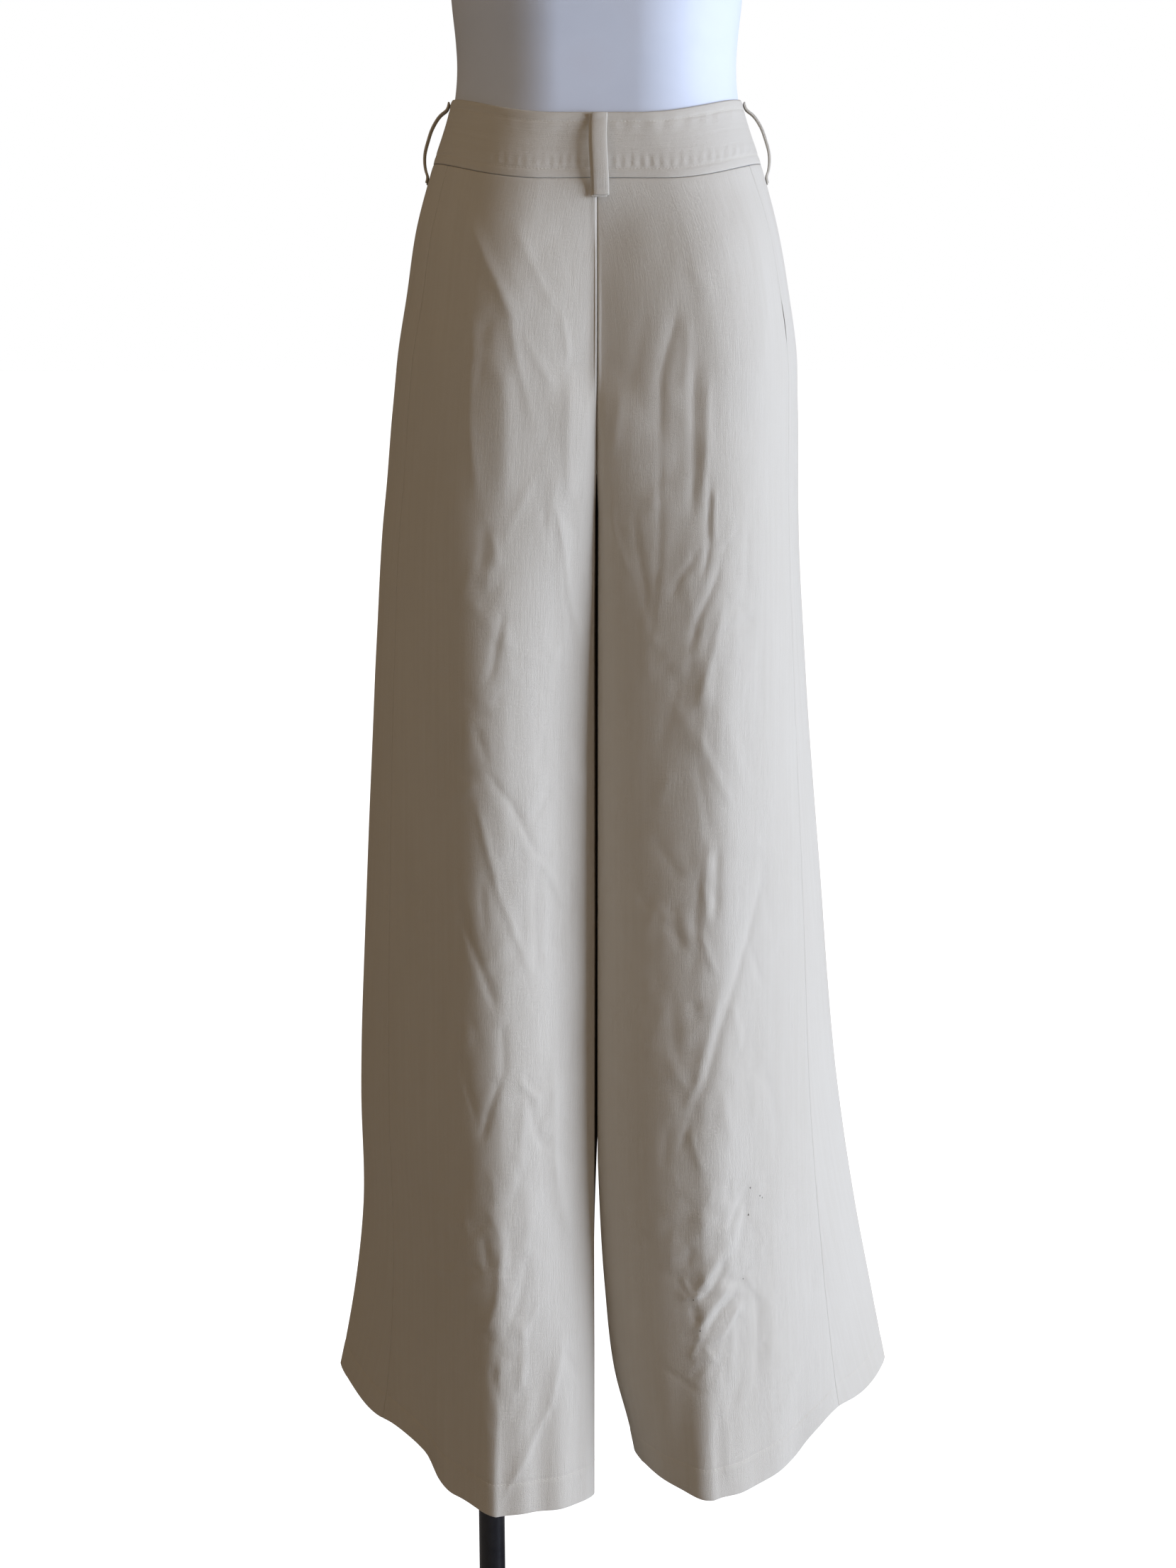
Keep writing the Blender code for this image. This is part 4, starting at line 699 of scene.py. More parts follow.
def panel_heights(side, face):
    """Finer at the waist seam, at the hem and round the snagged patch."""
    hem, hook = HEM[side], (HOOK_TOP - CROTCH) / INSEAM_STEPS
    if face == "back":
        middle = ((CROTCH, 0.560, 0.0025), (0.560, 0.440, 0.0017), (0.440, hem + 0.030, 0.0028))
    else:
        middle = ((CROTCH, hem + 0.030, 0.0044),)
    seam = (WAIST_SEAM - HALF_SEAM, 1.446, 0.001)
    trunk = ((1.446, HOOK_TOP, 0.0036), (HOOK_TOP, CROTCH, hook))
    return stretches(seam, *trunk, *middle, (hem + 0.030, hem, 0.0014))


def panel_stations(face):
    """Finer beside each seam, where the edge rolls in."""
    edge, inseam = 0.020, BACK_CENTRE / INSEAM_STEPS
    if face == "back":
        return stretches(
            (0.0, BACK_CENTRE, inseam),
            (BACK_CENTRE, BACK_CENTRE + edge, 0.0045),
            (BACK_CENTRE + edge, 1.0, 0.0120),
            (1.0, 1.3, 0.0122),
            (1.3, SIDE_SEAM - edge, 0.0200),
            (SIDE_SEAM - edge, SIDE_SEAM, 0.004),
        )
    return stretches(
        (SIDE_SEAM, SIDE_SEAM + edge, 0.004),
        (SIDE_SEAM + edge, 2.6, 0.0210),
        (2.6, 3.0, 0.0160),
        (3.0, FRONT_CENTRE - edge, 0.0170),
        (FRONT_CENTRE - edge, FRONT_CENTRE, 0.0045),
        (FRONT_CENTRE, LAST_STATION, inseam),
    )


# %% [markdown]
# ## Making a panel
#
# A panel is one grid of points: its formula, plus all that moves it along its normals.
# A real panel doesn't stop at its seams, so extra rows and columns turn its edges in
# by a few millimetres, and at the hem the cloth folds up inside by the depth of the
# stitching. Solidify then gives the wall, inwards, so that the outside stays put.

# %% Turned edges
HEM_RADIUS = 0.0009  # how tightly the hem turns
FOLD_HEIGHTS = (0.004, 0.010, 0.016, 0.022, HEM_STITCH + 0.0015)


def with_lines(points, lines, axis, at_end):
    """Adds the lines before or after the grid's own, along that axis."""
    lines = np.stack(lines, axis=axis)
    return np.concatenate([points, lines] if at_end else [np.flip(lines, axis), points], axis=axis)


def turned_in(points, normals, axis, at_end, depths):
    """The edge line again, moved in against its normals by each depth in turn."""
    pick = (slice(None),) * axis + (-1 if at_end else 0,)
    lines = [points[pick] - depth * normals[pick] for depth in depths]
    return with_lines(points, lines, axis, at_end)


def hem_fold(points, normals):
    """Folds the last row under: a small round, then up inside to the stitching."""
    edge, out = points[-1], normals[-1]
    up = unit(points[-6] - points[-1])
    turn, r = np.linspace(0.25, 1.0, 4) * np.pi, HEM_RADIUS
    lines = [edge - r * (1 - math.cos(a)) * out - r * math.sin(a) * up for a in turn]
    above = np.abs(points[:, 0, 2] - edge[0, 2])
    for height in FOLD_HEIGHTS:
        row = int(np.argmin(np.abs(above - height)))
        lines.append(points[row] - 2 * r * normals[row])
    return np.concatenate([points, np.stack(lines)], axis=0)


# %% Meshes from grids and rings
def cells(rows, columns, present):
    """Four-sided faces, and a triangle where a cell lacks one corner."""
    index = np.where(present, np.arange(rows * columns).reshape(rows, columns), -1)
    corners = np.stack([index[:-1, :-1], index[:-1, 1:], index[1:, 1:], index[1:, :-1]], -1)
    corners = corners.reshape(-1, 4)
    has = corners >= 0
    three = has.sum(axis=1) == 3
    faces = corners[has.all(axis=1)].tolist()
    return faces + [face[keep].tolist() for face, keep in zip(corners[three], has[three])]


def ring_faces(index):
    """The faces between neighbouring rings, whose points run round along the last axis."""
    here, there = index[..., :-1, :], index[..., 1:, :]
    return np.stack([here, np.roll(here, -1, axis=-1), np.roll(there, -1, axis=-1), there], -1)


def numbered(rings):
    """The vertex number of each point of the rings."""
    return np.arange(rings[..., 0].size).reshape(rings.shape[:-1])


def add_piece(name, vertices, faces, material, uv=None):
    """A named mesh object at the origin, smooth-shaded, without loose points."""
    used = np.unique(np.fromiter((i for face in faces for i in face), int))
    place = np.full(len(vertices), -1)
    place[used] = np.arange(len(used))
    mesh = bpy.data.meshes.new(name)
    corners = [[int(place[i]) for i in face] for face in faces]
    mesh.from_pydata(np.asarray(vertices)[used].tolist(), [], corners)
    mesh.update()
    if uv is not None:
        layer = mesh.uv_layers.new(name="cloth")
        loops = np.zeros(len(mesh.loops), np.int32)
        mesh.loops.foreach_get("vertex_index", loops)
        layer.data.foreach_set("uv", np.asarray(uv)[used][loops].astype(np.float32).ravel())
    mesh.shade_smooth()
    mesh.materials.append(material)
    piece = bpy.data.objects.new(name, mesh)
    bpy.context.collection.objects.link(piece)
    return piece


def cloth_uv(points):
    """u is the length along each row and v the length down each column, in metres."""
    u, v = lengths(points, 1), lengths(points, 0)
    middle = points.shape[1] // 2
    return np.stack([u - u[:, middle:middle + 1], -v], axis=-1)


def give_wall(piece, thickness):
    """A live Solidify that grows inwards only."""
    wall = piece.modifiers.new("wall", "SOLIDIFY")
    wall.thickness, wall.offset, wall.use_rim = thickness, -1.0, True


# %% [markdown]
# ## Finishes
#
# The cloth is a fine, matt, slightly soft weave. Its colour barely varies, so what makes
# it look like cloth is the small relief: threads over and under each other along the
# cloth's own directions (its UV map, in metres), slubs that run with the warp, and a
# low sheen. The form is a satin shell that has been handled, and the stand is coated
# steel.

# %% Material helpers
def new_material(name, colour, roughness, **settings):
    made = bpy.data.materials.new(name)
    made.use_nodes = True
    tree = made.node_tree
    shader = tree.nodes["Principled BSDF"]
    shader.inputs["Base Color"].default_value = (*colour, 1.0)
    shader.inputs["Roughness"].default_value = roughness
    for socket, value in settings.items():
        shader.inputs[socket.replace("_", " ")].default_value = value
    return made, tree, shader


def add_node(tree, kind, **settings):
    node = tree.nodes.new(kind)
    for key, value in settings.items():
        setattr(node, key, value)
    return node


def object_place(tree):
    return add_node(tree, "ShaderNodeTexCoord").outputs["Object"]


def noise(tree, vector, scale, detail=3.0, roughness=0.55):
    node = add_node(tree, "ShaderNodeTexNoise")
    node.inputs["Scale"].default_value = scale
    node.inputs["Detail"].default_value = detail
    node.inputs["Roughness"].default_value = roughness
    tree.links.new(vector, node.inputs["Vector"])
    return node.outputs["Fac"]


def mapped(tree, vector, scale):
    """The same place in other units, so that a noise can be drawn out one way."""
    node = add_node(tree, "ShaderNodeMapping")
    node.inputs["Scale"].default_value = scale
    tree.links.new(vector, node.inputs["Vector"])
    return node.outputs["Vector"]


def math_node(tree, operation, a, b=None):
    node = add_node(tree, "ShaderNodeMath", operation=operation)
    for socket, value in zip(node.inputs, (a, b)):
        if isinstance(value, (int, float)):
            socket.default_value = value
        elif value is not None:
            tree.links.new(value, socket)
    return node.outputs[0]


def ramp(tree, factor, stops, socket):
    """Colours, or equal channels for a plain value, between a factor and a shader's socket."""
    node = add_node(tree, "ShaderNodeValToRGB")
    elements = node.color_ramp.elements
    while len(elements) < len(stops):
        elements.new(0.5)
    for element, (position, colour) in zip(elements, stops):
        element.position, element.color = position, (*colour, 1.0)
    tree.links.new(factor, node.inputs["Fac"])
    tree.links.new(node.outputs["Color"], socket)


def bump(tree, shader, height, strength, distance, before=None):
    """Relief for the shader, on top of the relief before it if there is one."""
    node = add_node(tree, "ShaderNodeBump")
    node.inputs["Strength"].default_value = strength
    node.inputs["Distance"].default_value = distance
    tree.links.new(height, node.inputs["Height"])
    if before is not None:
        tree.links.new(before, node.inputs["Normal"])
    tree.links.new(node.outputs["Normal"], shader.inputs["Normal"])
    return node.outputs["Normal"]


# %% The ivory cloth
THREADS = 2100.0  # threads in a metre, each way


def ivory(name):
    """Weave: sin(2 pi n u) x sin(2 pi n v), plus slubs drawn out along the warp."""
    made, tree, shader = new_material(
        name, (0.79, 0.73, 0.62), 0.86,
        Sheen_Weight=0.25, Sheen_Roughness=0.45, Specular_IOR_Level=0.25,
    )
    coordinates = add_node(tree, "ShaderNodeTexCoord")
    uv, place = coordinates.outputs["UV"], coordinates.outputs["Object"]
    split = add_node(tree, "ShaderNodeSeparateXYZ")
    tree.links.new(uv, split.inputs[0])
    turn = 2 * math.pi * THREADS
    warp = math_node(tree, "SINE", math_node(tree, "MULTIPLY", split.outputs["X"], turn))
    weft = math_node(tree, "SINE", math_node(tree, "MULTIPLY", split.outputs["Y"], turn))
    weave = math_node(tree, "MULTIPLY", warp, weft)
    slub = noise(tree, mapped(tree, uv, (900.0, 55.0, 1.0)), 1.0, 2.0)
    nap = noise(tree, mapped(tree, uv, (420.0, 420.0, 1.0)), 1.0, 4.0, 0.7)
    relief = math_node(tree, "ADD", math_node(tree, "MULTIPLY", weave, 0.35), slub)
    relief = math_node(tree, "ADD", relief, nap)
    fine = bump(tree, shader, relief, 0.75, 0.00036)
    crush = noise(tree, mapped(tree, place, (70.0, 70.0, 38.0)), 1.0, 5.0, 0.6)
    bump(tree, shader, crush, 0.30, 0.0012, fine)
    cloud = noise(tree, mapped(tree, place, (9.0, 9.0, 4.0)), 1.0, 4.0)
    streak = noise(tree, mapped(tree, uv, (260.0, 6.0, 1.0)), 1.0, 2.0)
    cloudy = math_node(tree, "MULTIPLY", cloud, 0.6)
    shade = math_node(tree, "ADD", cloudy, math_node(tree, "MULTIPLY", streak, 0.4))
    stops = ((0.30, (0.765, 0.712, 0.620)), (0.70, (0.830, 0.782, 0.695)))
    ramp(tree, shade, stops, shader.inputs["Base Color"])
    return made


cloth = ivory("ivory_cloth_weave")
thread, thread_tree, thread_shader = new_material(
    "ivory_thread", (0.80, 0.75, 0.65), 0.6, Sheen_Weight=0.2, Specular_IOR_Level=0.35
)
twist = noise(thread_tree, object_place(thread_tree), 5200.0, 2.0)
bump(thread_tree, thread_shader, twist, 0.4, 0.00008)
lint, lint_tree, lint_shader = new_material("dark_lint", (0.16, 0.13, 0.10), 0.9)
ramp(lint_tree, noise(lint_tree, object_place(lint_tree), 2500.0, 3.0),
     ((0.3, (0.10, 0.08, 0.06)), (0.7, (0.24, 0.20, 0.16))), lint_shader.inputs["Base Color"])
print("cloth, thread and lint finishes made")

# %% The form's shell and the black metal
shell, shell_tree, shell_shader = new_material(
    "form_satin_shell", (0.74, 0.79, 0.90), 0.60,
    Specular_IOR_Level=0.30, Coat_Weight=0.06, Coat_Roughness=0.45,
)
shell_place = object_place(shell_tree)
handled = noise(shell_tree, mapped(shell_tree, shell_place, (11.0, 11.0, 16.0)), 1.0, 4.0)
tones = ((0.25, (0.70, 0.75, 0.86)), (0.55, (0.74, 0.79, 0.90)), (0.80, (0.73, 0.76, 0.86)))
ramp(shell_tree, handled, tones, shell_shader.inputs["Base Color"])
scuff = noise(shell_tree, mapped(shell_tree, shell_place, (160.0, 160.0, 60.0)), 1.0, 5.0, 0.7)
gloss = ((0.35, (0.54,) * 3), (0.75, (0.70,) * 3))
ramp(shell_tree, scuff, gloss, shell_shader.inputs["Roughness"])
bump(shell_tree, shell_shader, scuff, 0.08, 0.0006)

metal, metal_tree, metal_shader = new_material(
    "black_coated_steel", (0.011, 0.011, 0.014), 0.34,
    Specular_IOR_Level=0.5, Coat_Weight=0.2, Coat_Roughness=0.25,
)
metal_place = object_place(metal_tree)
peel = noise(metal_tree, metal_place, 900.0, 3.0)
gloss = ((0.3, (0.28,) * 3), (0.7, (0.44,) * 3))
ramp(metal_tree, peel, gloss, metal_shader.inputs["Roughness"])
bump(metal_tree, metal_shader, peel, 0.12, 0.0003)
wear = ((0.4, (0.009, 0.009, 0.012)), (0.8, (0.022, 0.021, 0.023)))
ramp(metal_tree, noise(metal_tree, metal_place, 60.0, 5.0), wear, metal_shader.inputs["Base Color"])
print("form and stand finishes made")

# %% [markdown]
# ## The four panels
#
# Each panel is made on its grid and takes the place of its solid. Its grid is kept,
# because stitches are laid on it.

# %% What moves a panel's surface
BEAD, BEAD_NEAR, BEAD_FAR = 0.0014, 0.0010, 0.0024  # the bead's place and its two widths
EASE_FROM, EASE_OVER, EASED = 1.15, 0.15, 0.3  # below the hip the side seam rolls in less
WAIST_ROLL, WAIST_ROLL_WIDTH = 0.0005, 0.002
SEEDS = {("left", "back"): 39, ("left", "front"): 49, ("right", "back"): 41, ("right", "front"): 51}


def centre_of(face, station):
    """The column of the centre seam, and the step that leads from it into the panel."""
    at = BACK_CENTRE if face == "back" else FRONT_CENTRE
    return np.searchsorted(station, at), 1 if face == "back" else -1


def seam_rolls(face, side, height, station, points):
    """The outer edge sinks by exp(-distance / width) as it turns in, less below the hip. At
    the centre back the left edge was pressed over the right one, so it first stands up as a
    soft bead, exp(-((distance - 1.4 mm) / width)^2), steeper towards the seam."""
    edge = -1 if face == "back" else 0
    outer = np.linalg.norm(points - points[:, edge][:, None], axis=-1)
    centre, _ = centre_of(face, station)
    middle = np.abs(points[..., 0] - points[:, centre, 0][:, None])
    trunk = (height > HOOK_TOP)[:, None]
    depth = ROLL * np.clip((height - EASE_FROM) / EASE_OVER, EASED, 1.0)[:, None]
    rolls = -depth * np.exp(-outer / ROLL_WIDTH)
    if face == "back":
        width = np.where(middle > BEAD, BEAD_FAR, BEAD_NEAR)
        bead = np.exp(-(((middle - BEAD) / width) ** 2))
        rolls += CENTRE_FOLD[side] * np.where(trunk, bead, 0.0)
    else:
        rolls -= 0.5 * ROLL * np.where(trunk, np.exp(-middle / ROLL_WIDTH), 0.0)
    waist = (WAIST_SEAM - height)[:, None]
    return rolls - WAIST_ROLL * np.exp(-waist / WAIST_ROLL_WIDTH)


def lifted(face, side, height, station, flat):
    """The plain cloth, moved along its normals by all that lifts or sinks it."""
    out = grid_normals(flat, SIDES[side])
    centre, inward = centre_of(face, station)
    for column in (centre, centre + inward, centre + 2 * inward):
        out[:, column] = out[:, centre + 3 * inward]
    lift = hand_creases(side, flat, out)
    for name in ("back", "front"):
        lift += crumples(side, name, flat, out, SEEDS[side, name])
    lift += slow_waves(flat, out) + seam_rolls(face, side, height, station, flat)
    lift += hem_pull(side, height, station)
    if face == "back":
        lift += press_line(side, height, station, flat)
    return flat + lift[..., None] * out


# %% What keeps the panels together
SWAY = 0.0042  # how far the inner legs lie in each other's curve
SWAY_FROM, SWAY_OVER = 0.085, 0.165  # depths over which the inner legs sway, from the back
SWAY_TOP, SWAY_LOW, SWAY_REACH = 0.06, (0.52, 0.10), 0.014
SHUT_OVER, SHUT_REACH = 0.04, 0.010
ROUND_SIDE = 0.5  # how far, in stations, the back's hem lift runs on into the front


def past_centre(face, side, height, station, flat, points):
    """The cloth past the centre follows the centre line, and no cloth crosses the middle."""
    centre, inward = centre_of(face, station)
    trunk = np.clip((height - CROTCH) / (HOOK_TOP - CROTCH), 0.0, 1.0)
    for step in range(1, INSEAM_STEPS + 1):
        follow = 1 - (1 - trunk) * step / INSEAM_STEPS
        points[:, centre - step * inward] += follow[:, None] * (points - flat)[:, centre]
    sign = SIDES[side]
    points[..., 0] = sign * np.maximum(sign * points[..., 0], middle_gap(height)[:, None])


def sway(points):
    """Both inner legs shift to one side by sin(pi x depth), so nothing shows between them."""
    x, y, z = points[..., 0], points[..., 1], points[..., 2]
    bow = np.sin(np.pi * np.clip((y + SWAY_FROM) / SWAY_OVER, 0.0, 1.0))
    low, fade = SWAY_LOW
    reach = np.clip((CROTCH - z) / SWAY_TOP, 0.0, 1.0) * np.clip((z - low) / fade, 0.0, 1.0)
    points[..., 0] += SWAY * bow * reach * np.exp(-np.abs(x) / SWAY_REACH)


def shut_centre(face, side, height, station, points):
    """Brings the centre line back to the middle seam, fading by exp(-distance / 10 mm)."""
    centre, _ = centre_of(face, station)
    sign = SIDES[side]
    trunk = np.clip((height - CROTCH) / SHUT_OVER, 0.0, 1.0)
    opened = (sign * points[:, centre, 0] - middle_gap(height)) * trunk
    from_centre = np.linalg.norm(points - points[:, centre][:, None], axis=-1)
    points[..., 0] -= sign * opened[:, None] * np.exp(-from_centre / SHUT_REACH)


# %% The panels
CLOTH_WALL = 0.0007
POCKET = (1.300, 1.352)  # the stretch of the right side seam where the pocket gapes
GAPE, GAPE_REACH = 0.0011, 0.004
EDGE_DEPTHS = (0.0004, 0.0012, TUCK)
panels = {}


def pocket_gape(face, height, points):
    """The pocket's mouth opens by sin(pi x share of its height)^2, away from the seam."""
    share = np.clip((height - POCKET[0]) / (POCKET[1] - POCKET[0]), 0.0, 1.0)
    gape = GAPE * np.sin(np.pi * share) ** 2
    edge, beside = (-1, -2) if face == "back" else (0, 1)
    fade = np.exp(-np.linalg.norm(points - points[:, edge][:, None], axis=-1) / GAPE_REACH)
    away = unit(points[:, beside] - points[:, edge])
    points += (gape[:, None] * fade)[..., None] * away[:, None]


def with_edges(face, sign, points, mask):
    """Both sides and the top turn in, and the hem folds up. The mask grows with the grid."""
    grid, at_side = points, face == "back"
    for at_end in (at_side, not at_side):
        grid = turned_in(grid, grid_normals(grid, sign), 1, at_end, EDGE_DEPTHS)
        extra = len(EDGE_DEPTHS)
        mask = np.pad(mask, ((0, 0), (0, extra) if at_end else (extra, 0)), mode="edge")
    grid = turned_in(grid, grid_normals(grid, sign), 0, False, EDGE_DEPTHS[:2])
    grid = hem_fold(grid, grid_normals(grid, sign))
    return grid, np.pad(mask, ((2, len(grid) - len(mask) - 2), (0, 0)), mode="edge")


def panel(face, side):
    """One panel from its formula to its mesh and wall, its grid kept in panels."""
    height, station = panel_heights(side, face), panel_stations(face)
    sign = SIDES[side]
    flat = plain_cloth(side, height, station)
    points = lifted(face, side, height, station, flat)
    past_centre(face, side, height, station, flat, points)
    sway(points)
    shut_centre(face, side, height, station, points)
    at_back = face == "back"
    round_side = 1.0 if at_back else np.clip(1 - (station - SIDE_SEAM) / ROUND_SIDE, 0.0, 1.0)
    points[..., 2] += round_side * hem_edge(side, height, points[..., 0])
    if side == "right":
        pocket_gape(face, height, points)
    normals = grid_normals(points, sign)
    panels[face, side] = {
        "height": height, "station": station, "points": points, "normals": normals
    }

    past = (BACK_CENTRE - station) if at_back else (station - FRONT_CENTRE)
    reached = np.clip((HOOK_TOP - height) / (HOOK_TOP - CROTCH), 1 / INSEAM_STEPS, 1.0)
    grid, mask = with_edges(face, sign, points, past / BACK_CENTRE <= reached[:, None] + 1e-6)
    faces = cells(*grid.shape[:2], mask)
    if sign > 0:
        faces = [corners[::-1] for corners in faces]
    uv = cloth_uv(grid).reshape(-1, 2)
    piece = add_piece(f"cloth_{face}_{side}", grid.reshape(-1, 3), faces, cloth, uv)
    give_wall(piece, CLOTH_WALL)
    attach(piece, "root")
    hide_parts(f"{face}_{side}")


for side_name in SIDES:
    for face_name in ("back", "front"):
        panel(face_name, side_name)

# %% [markdown]
# ## The waistband
#
# One folded strip goes round the waist and laps over itself at the centre front. Two
# rows of stitches hold it, a finger's width from its edges, and between them and the
# edges the cloth puckers. The puckers are stronger on the right half.

# %% The waistband's strip and its relief
BAND_WALL = 0.0010
LAP, LAP_END = 0.0027, 3.12  # the lap lies this far out, and ends at this station
BAND_PULLS, BAND_PULL_WIDTH = (0.00045, 0.00040), 0.0011  # the upper and the lower stitches
BAND_ROLLS, BAND_ROLL_WIDTH = (0.0007, 0.0004), 0.0012  # the top edge and the waist seam
PUCKER = 0.00024
UPPER_RIPPLE = {"length": 0.0135, "uneven": 1.5, "turns": 70, "phase": 0.0}
LOWER_RIPPLE = {"length": 0.0072, "uneven": 1.2, "turns": 45, "phase": 1.0}
UPPER_REACH, LOWER_AT, LOWER_REACH = 0.005, 0.0115, 0.0055
BAND_WAVE, BAND_WAVE_LENGTH = 0.0003, 0.085
BAND_STEP = 0.0125
BAND_DEPTH = WAIST_TOP - WAIST_SEAM
band_height = stretches(
    (WAIST_TOP, WAIST_TOP - 0.003, 0.0010), (WAIST_TOP - 0.003, WAIST_SEAM, 0.00105)
)


def band_side(side, station):
    """One side's strip and its normals, with its columns in the order of the stations."""
    order = np.sort(station)
    turn = 1 if station[0] < station[-1] else -1
    flat = plain_cloth(side, band_height, order)
    return flat[:, ::turn], grid_normals(flat, SIDES[side])[:, ::turn]


def ripple(x, length, uneven, turns, phase):
    """sin(2 pi x / length), its phase wandering by a slower sine."""
    return np.sin(2 * np.pi * x / length + uneven * np.sin(turns * x + phase))


def puckers(points, below_top):
    """Ripples under the upper stitches and over the lower, each fading by
    exp(-(distance / reach)^2). They are strongest at the right of the back."""
    x = points[..., 0]
    right = np.clip(0.35 + x / 0.06, 0.25, 1.0)
    back = np.clip(-points[..., 1] / 0.05, 0.0, 1.0)
    top = np.exp(-((below_top - BAND_STITCH - 0.003) / UPPER_REACH) ** 2)
    low = BAND_DEPTH - below_top
    bottom = np.exp(-((low - LOWER_AT) / LOWER_REACH) ** 2)
    bottom *= np.clip((low - BAND_STITCH) / 0.002, 0.0, 1.0)
    upper, lower = ripple(x, **UPPER_RIPPLE), ripple(x, **LOWER_RIPPLE)
    return PUCKER * back * (right * top * upper + bottom * (0.4 + 0.6 * right) * lower)


def band_relief(flat, below_top):
    """Puckers, a groove along each row of stitches, rolled edges and one slow wave."""
    above_seam = BAND_DEPTH - below_top
    relief = puckers(flat, below_top)
    for depth, roll, away in zip(BAND_PULLS, BAND_ROLLS, (below_top, above_seam)):
        relief += pull(away - BAND_STITCH, depth, BAND_PULL_WIDTH)
        relief -= roll * np.exp(-away / BAND_ROLL_WIDTH)
    swell = np.sin(2 * np.pi * flat[..., 0] / BAND_WAVE_LENGTH + 0.8)
    return relief + BAND_WAVE * swell * np.sin(np.pi * below_top / BAND_DEPTH)


# %% The waistband
around = stretches(
    (BACK_CENTRE, 1.0, BAND_STEP), (1.0, 3.0, 0.0120), (3.0, FRONT_CENTRE, BAND_STEP)
)
under_lap = stretches((FRONT_CENTRE - BAND_STEP, LAP_END, BAND_STEP))
strips = [
    band_side("left", around[::-1]), band_side("right", around[1:]), band_side("left", under_lap)
]
flat, out = (np.concatenate([strip[i] for strip in strips], axis=1) for i in (0, 1))
rising = LAP * np.clip((around[1:] - 3.0) / (FRONT_CENTRE - 3.0), 0.0, 1.0)
lift = np.concatenate([np.zeros(len(around)), rising, np.full(len(under_lap), LAP)])[None]
middle = len(around) - 1
for i in (middle - 1, middle, middle + 1):  # the two sides meet smoothly at the centre back
    out[:, i] = unit(out[:, middle - 3] + out[:, middle + 3])
flat[:, middle, 0] = 0.0
below_top = np.broadcast_to((WAIST_TOP - band_height)[:, None], flat.shape[:2])
points = flat + (lift + band_relief(flat, below_top))[..., None] * out
points[-1, :, 2] += HALF_SEAM
normals = grid_normals(points, 1.0)
band = {"height": band_height, "points": points, "normals": normals}
grid = turned_in(points, normals, 0, False, (0.0006, 0.0012, 0.0017))
grid = turned_in(grid, grid_normals(grid, 1.0), 0, True, (0.0004, 0.0010, 0.0016))
grid = turned_in(grid, grid_normals(grid, 1.0), 1, True, (0.0006, 0.0012))
faces = [corners[::-1] for corners in cells(*grid.shape[:2], True)]
uv = cloth_uv(grid)[..., ::-1].reshape(-1, 2)
waistband = add_piece("cloth_waistband", grid.reshape(-1, 3), faces, cloth, uv)
give_wall(waistband, BAND_WALL)
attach(waistband, "root")
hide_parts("waistband")
print("waistband", grid.shape[:2], "points; faces out:", bool((normals[:, middle, 1] < 0).all()))

# %% [markdown]
# ## Stitches
#
# A sewing machine leaves a row of short threads, each dipping into the cloth at both
# ends. One small capsule is computed as an array and repeated for the whole row at
# once, so hundreds of stitches cost one mesh and no loop.

# %% Threads along a path
STITCH_COLUMNS = ("share", "girth", "dip")  # along the stitch, and in radii of the thread
STITCH_ROWS = (
    (-0.5, 0.35, -1.1),
    (-0.35, 0.9, -0.2),
    (0.0, 1.0, 0.35),
    (0.35, 0.9, -0.2),
    (0.5, 0.35, -1.1),
)
STITCH_SIDES = 6


def stitches(name, rows, pitch=0.0028, length=0.0021, radius=0.00022):
    """Capsules of five rings round a line that dips at its ends. The rows are pairs of a
    path and its normals."""
    stitch = by_column(STITCH_COLUMNS, STITCH_ROWS)
    angle = (np.arange(STITCH_SIDES) * 2 * np.pi / STITCH_SIDES)[:, None]
    vertices, faces, count = [], [], 0
    for path, normal in rows:
        run = lengths(path)
        at = np.arange(pitch, run[-1] - pitch, pitch)[:, None] + length * stitch["share"]
        spot = np.stack([np.interp(at, run, path[:, i]) for i in range(3)], -1)
        out = unit(np.stack([np.interp(at, run, normal[:, i]) for i in range(3)], -1))
        way = unit(spot[:, -1] - spot[:, 0])[:, None]
        across = unit(np.cross(out, np.broadcast_to(way, out.shape)))
        middle = spot + radius * stitch["dip"][:, None] * out
        spoke = np.cos(angle) * across[:, :, None] + np.sin(angle) * out[:, :, None]
        ring = middle[:, :, None] + (radius * stitch["girth"])[:, None, None] * spoke
        index = count + numbered(ring)
        faces += ring_faces(index)[..., [0, 3, 2, 1]].reshape(-1, 4).tolist()
        faces += index[:, 0].tolist() + index[:, -1, ::-1].tolist()
        vertices.append(ring.reshape(-1, 3))
        count += ring[..., 0].size
    piece = add_piece(name, np.concatenate(vertices), faces, thread)
    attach(piece, "root")
    print(name, count // (len(STITCH_ROWS) * STITCH_SIDES), "stitches")
    return piece


def along_row(grid, height):
    """A level path over a grid: the two rows beside this height, blended."""
    rows = grid["height"][::-1]
    at = np.interp(height, rows, np.arange(len(rows))[::-1])
    low, share = int(np.floor(at)), at - np.floor(at)
    high = min(low + 1, len(rows) - 1)
    return tuple(
        (1 - share) * grid[key][low] + share * grid[key][high] for key in ("points", "normals")
    )


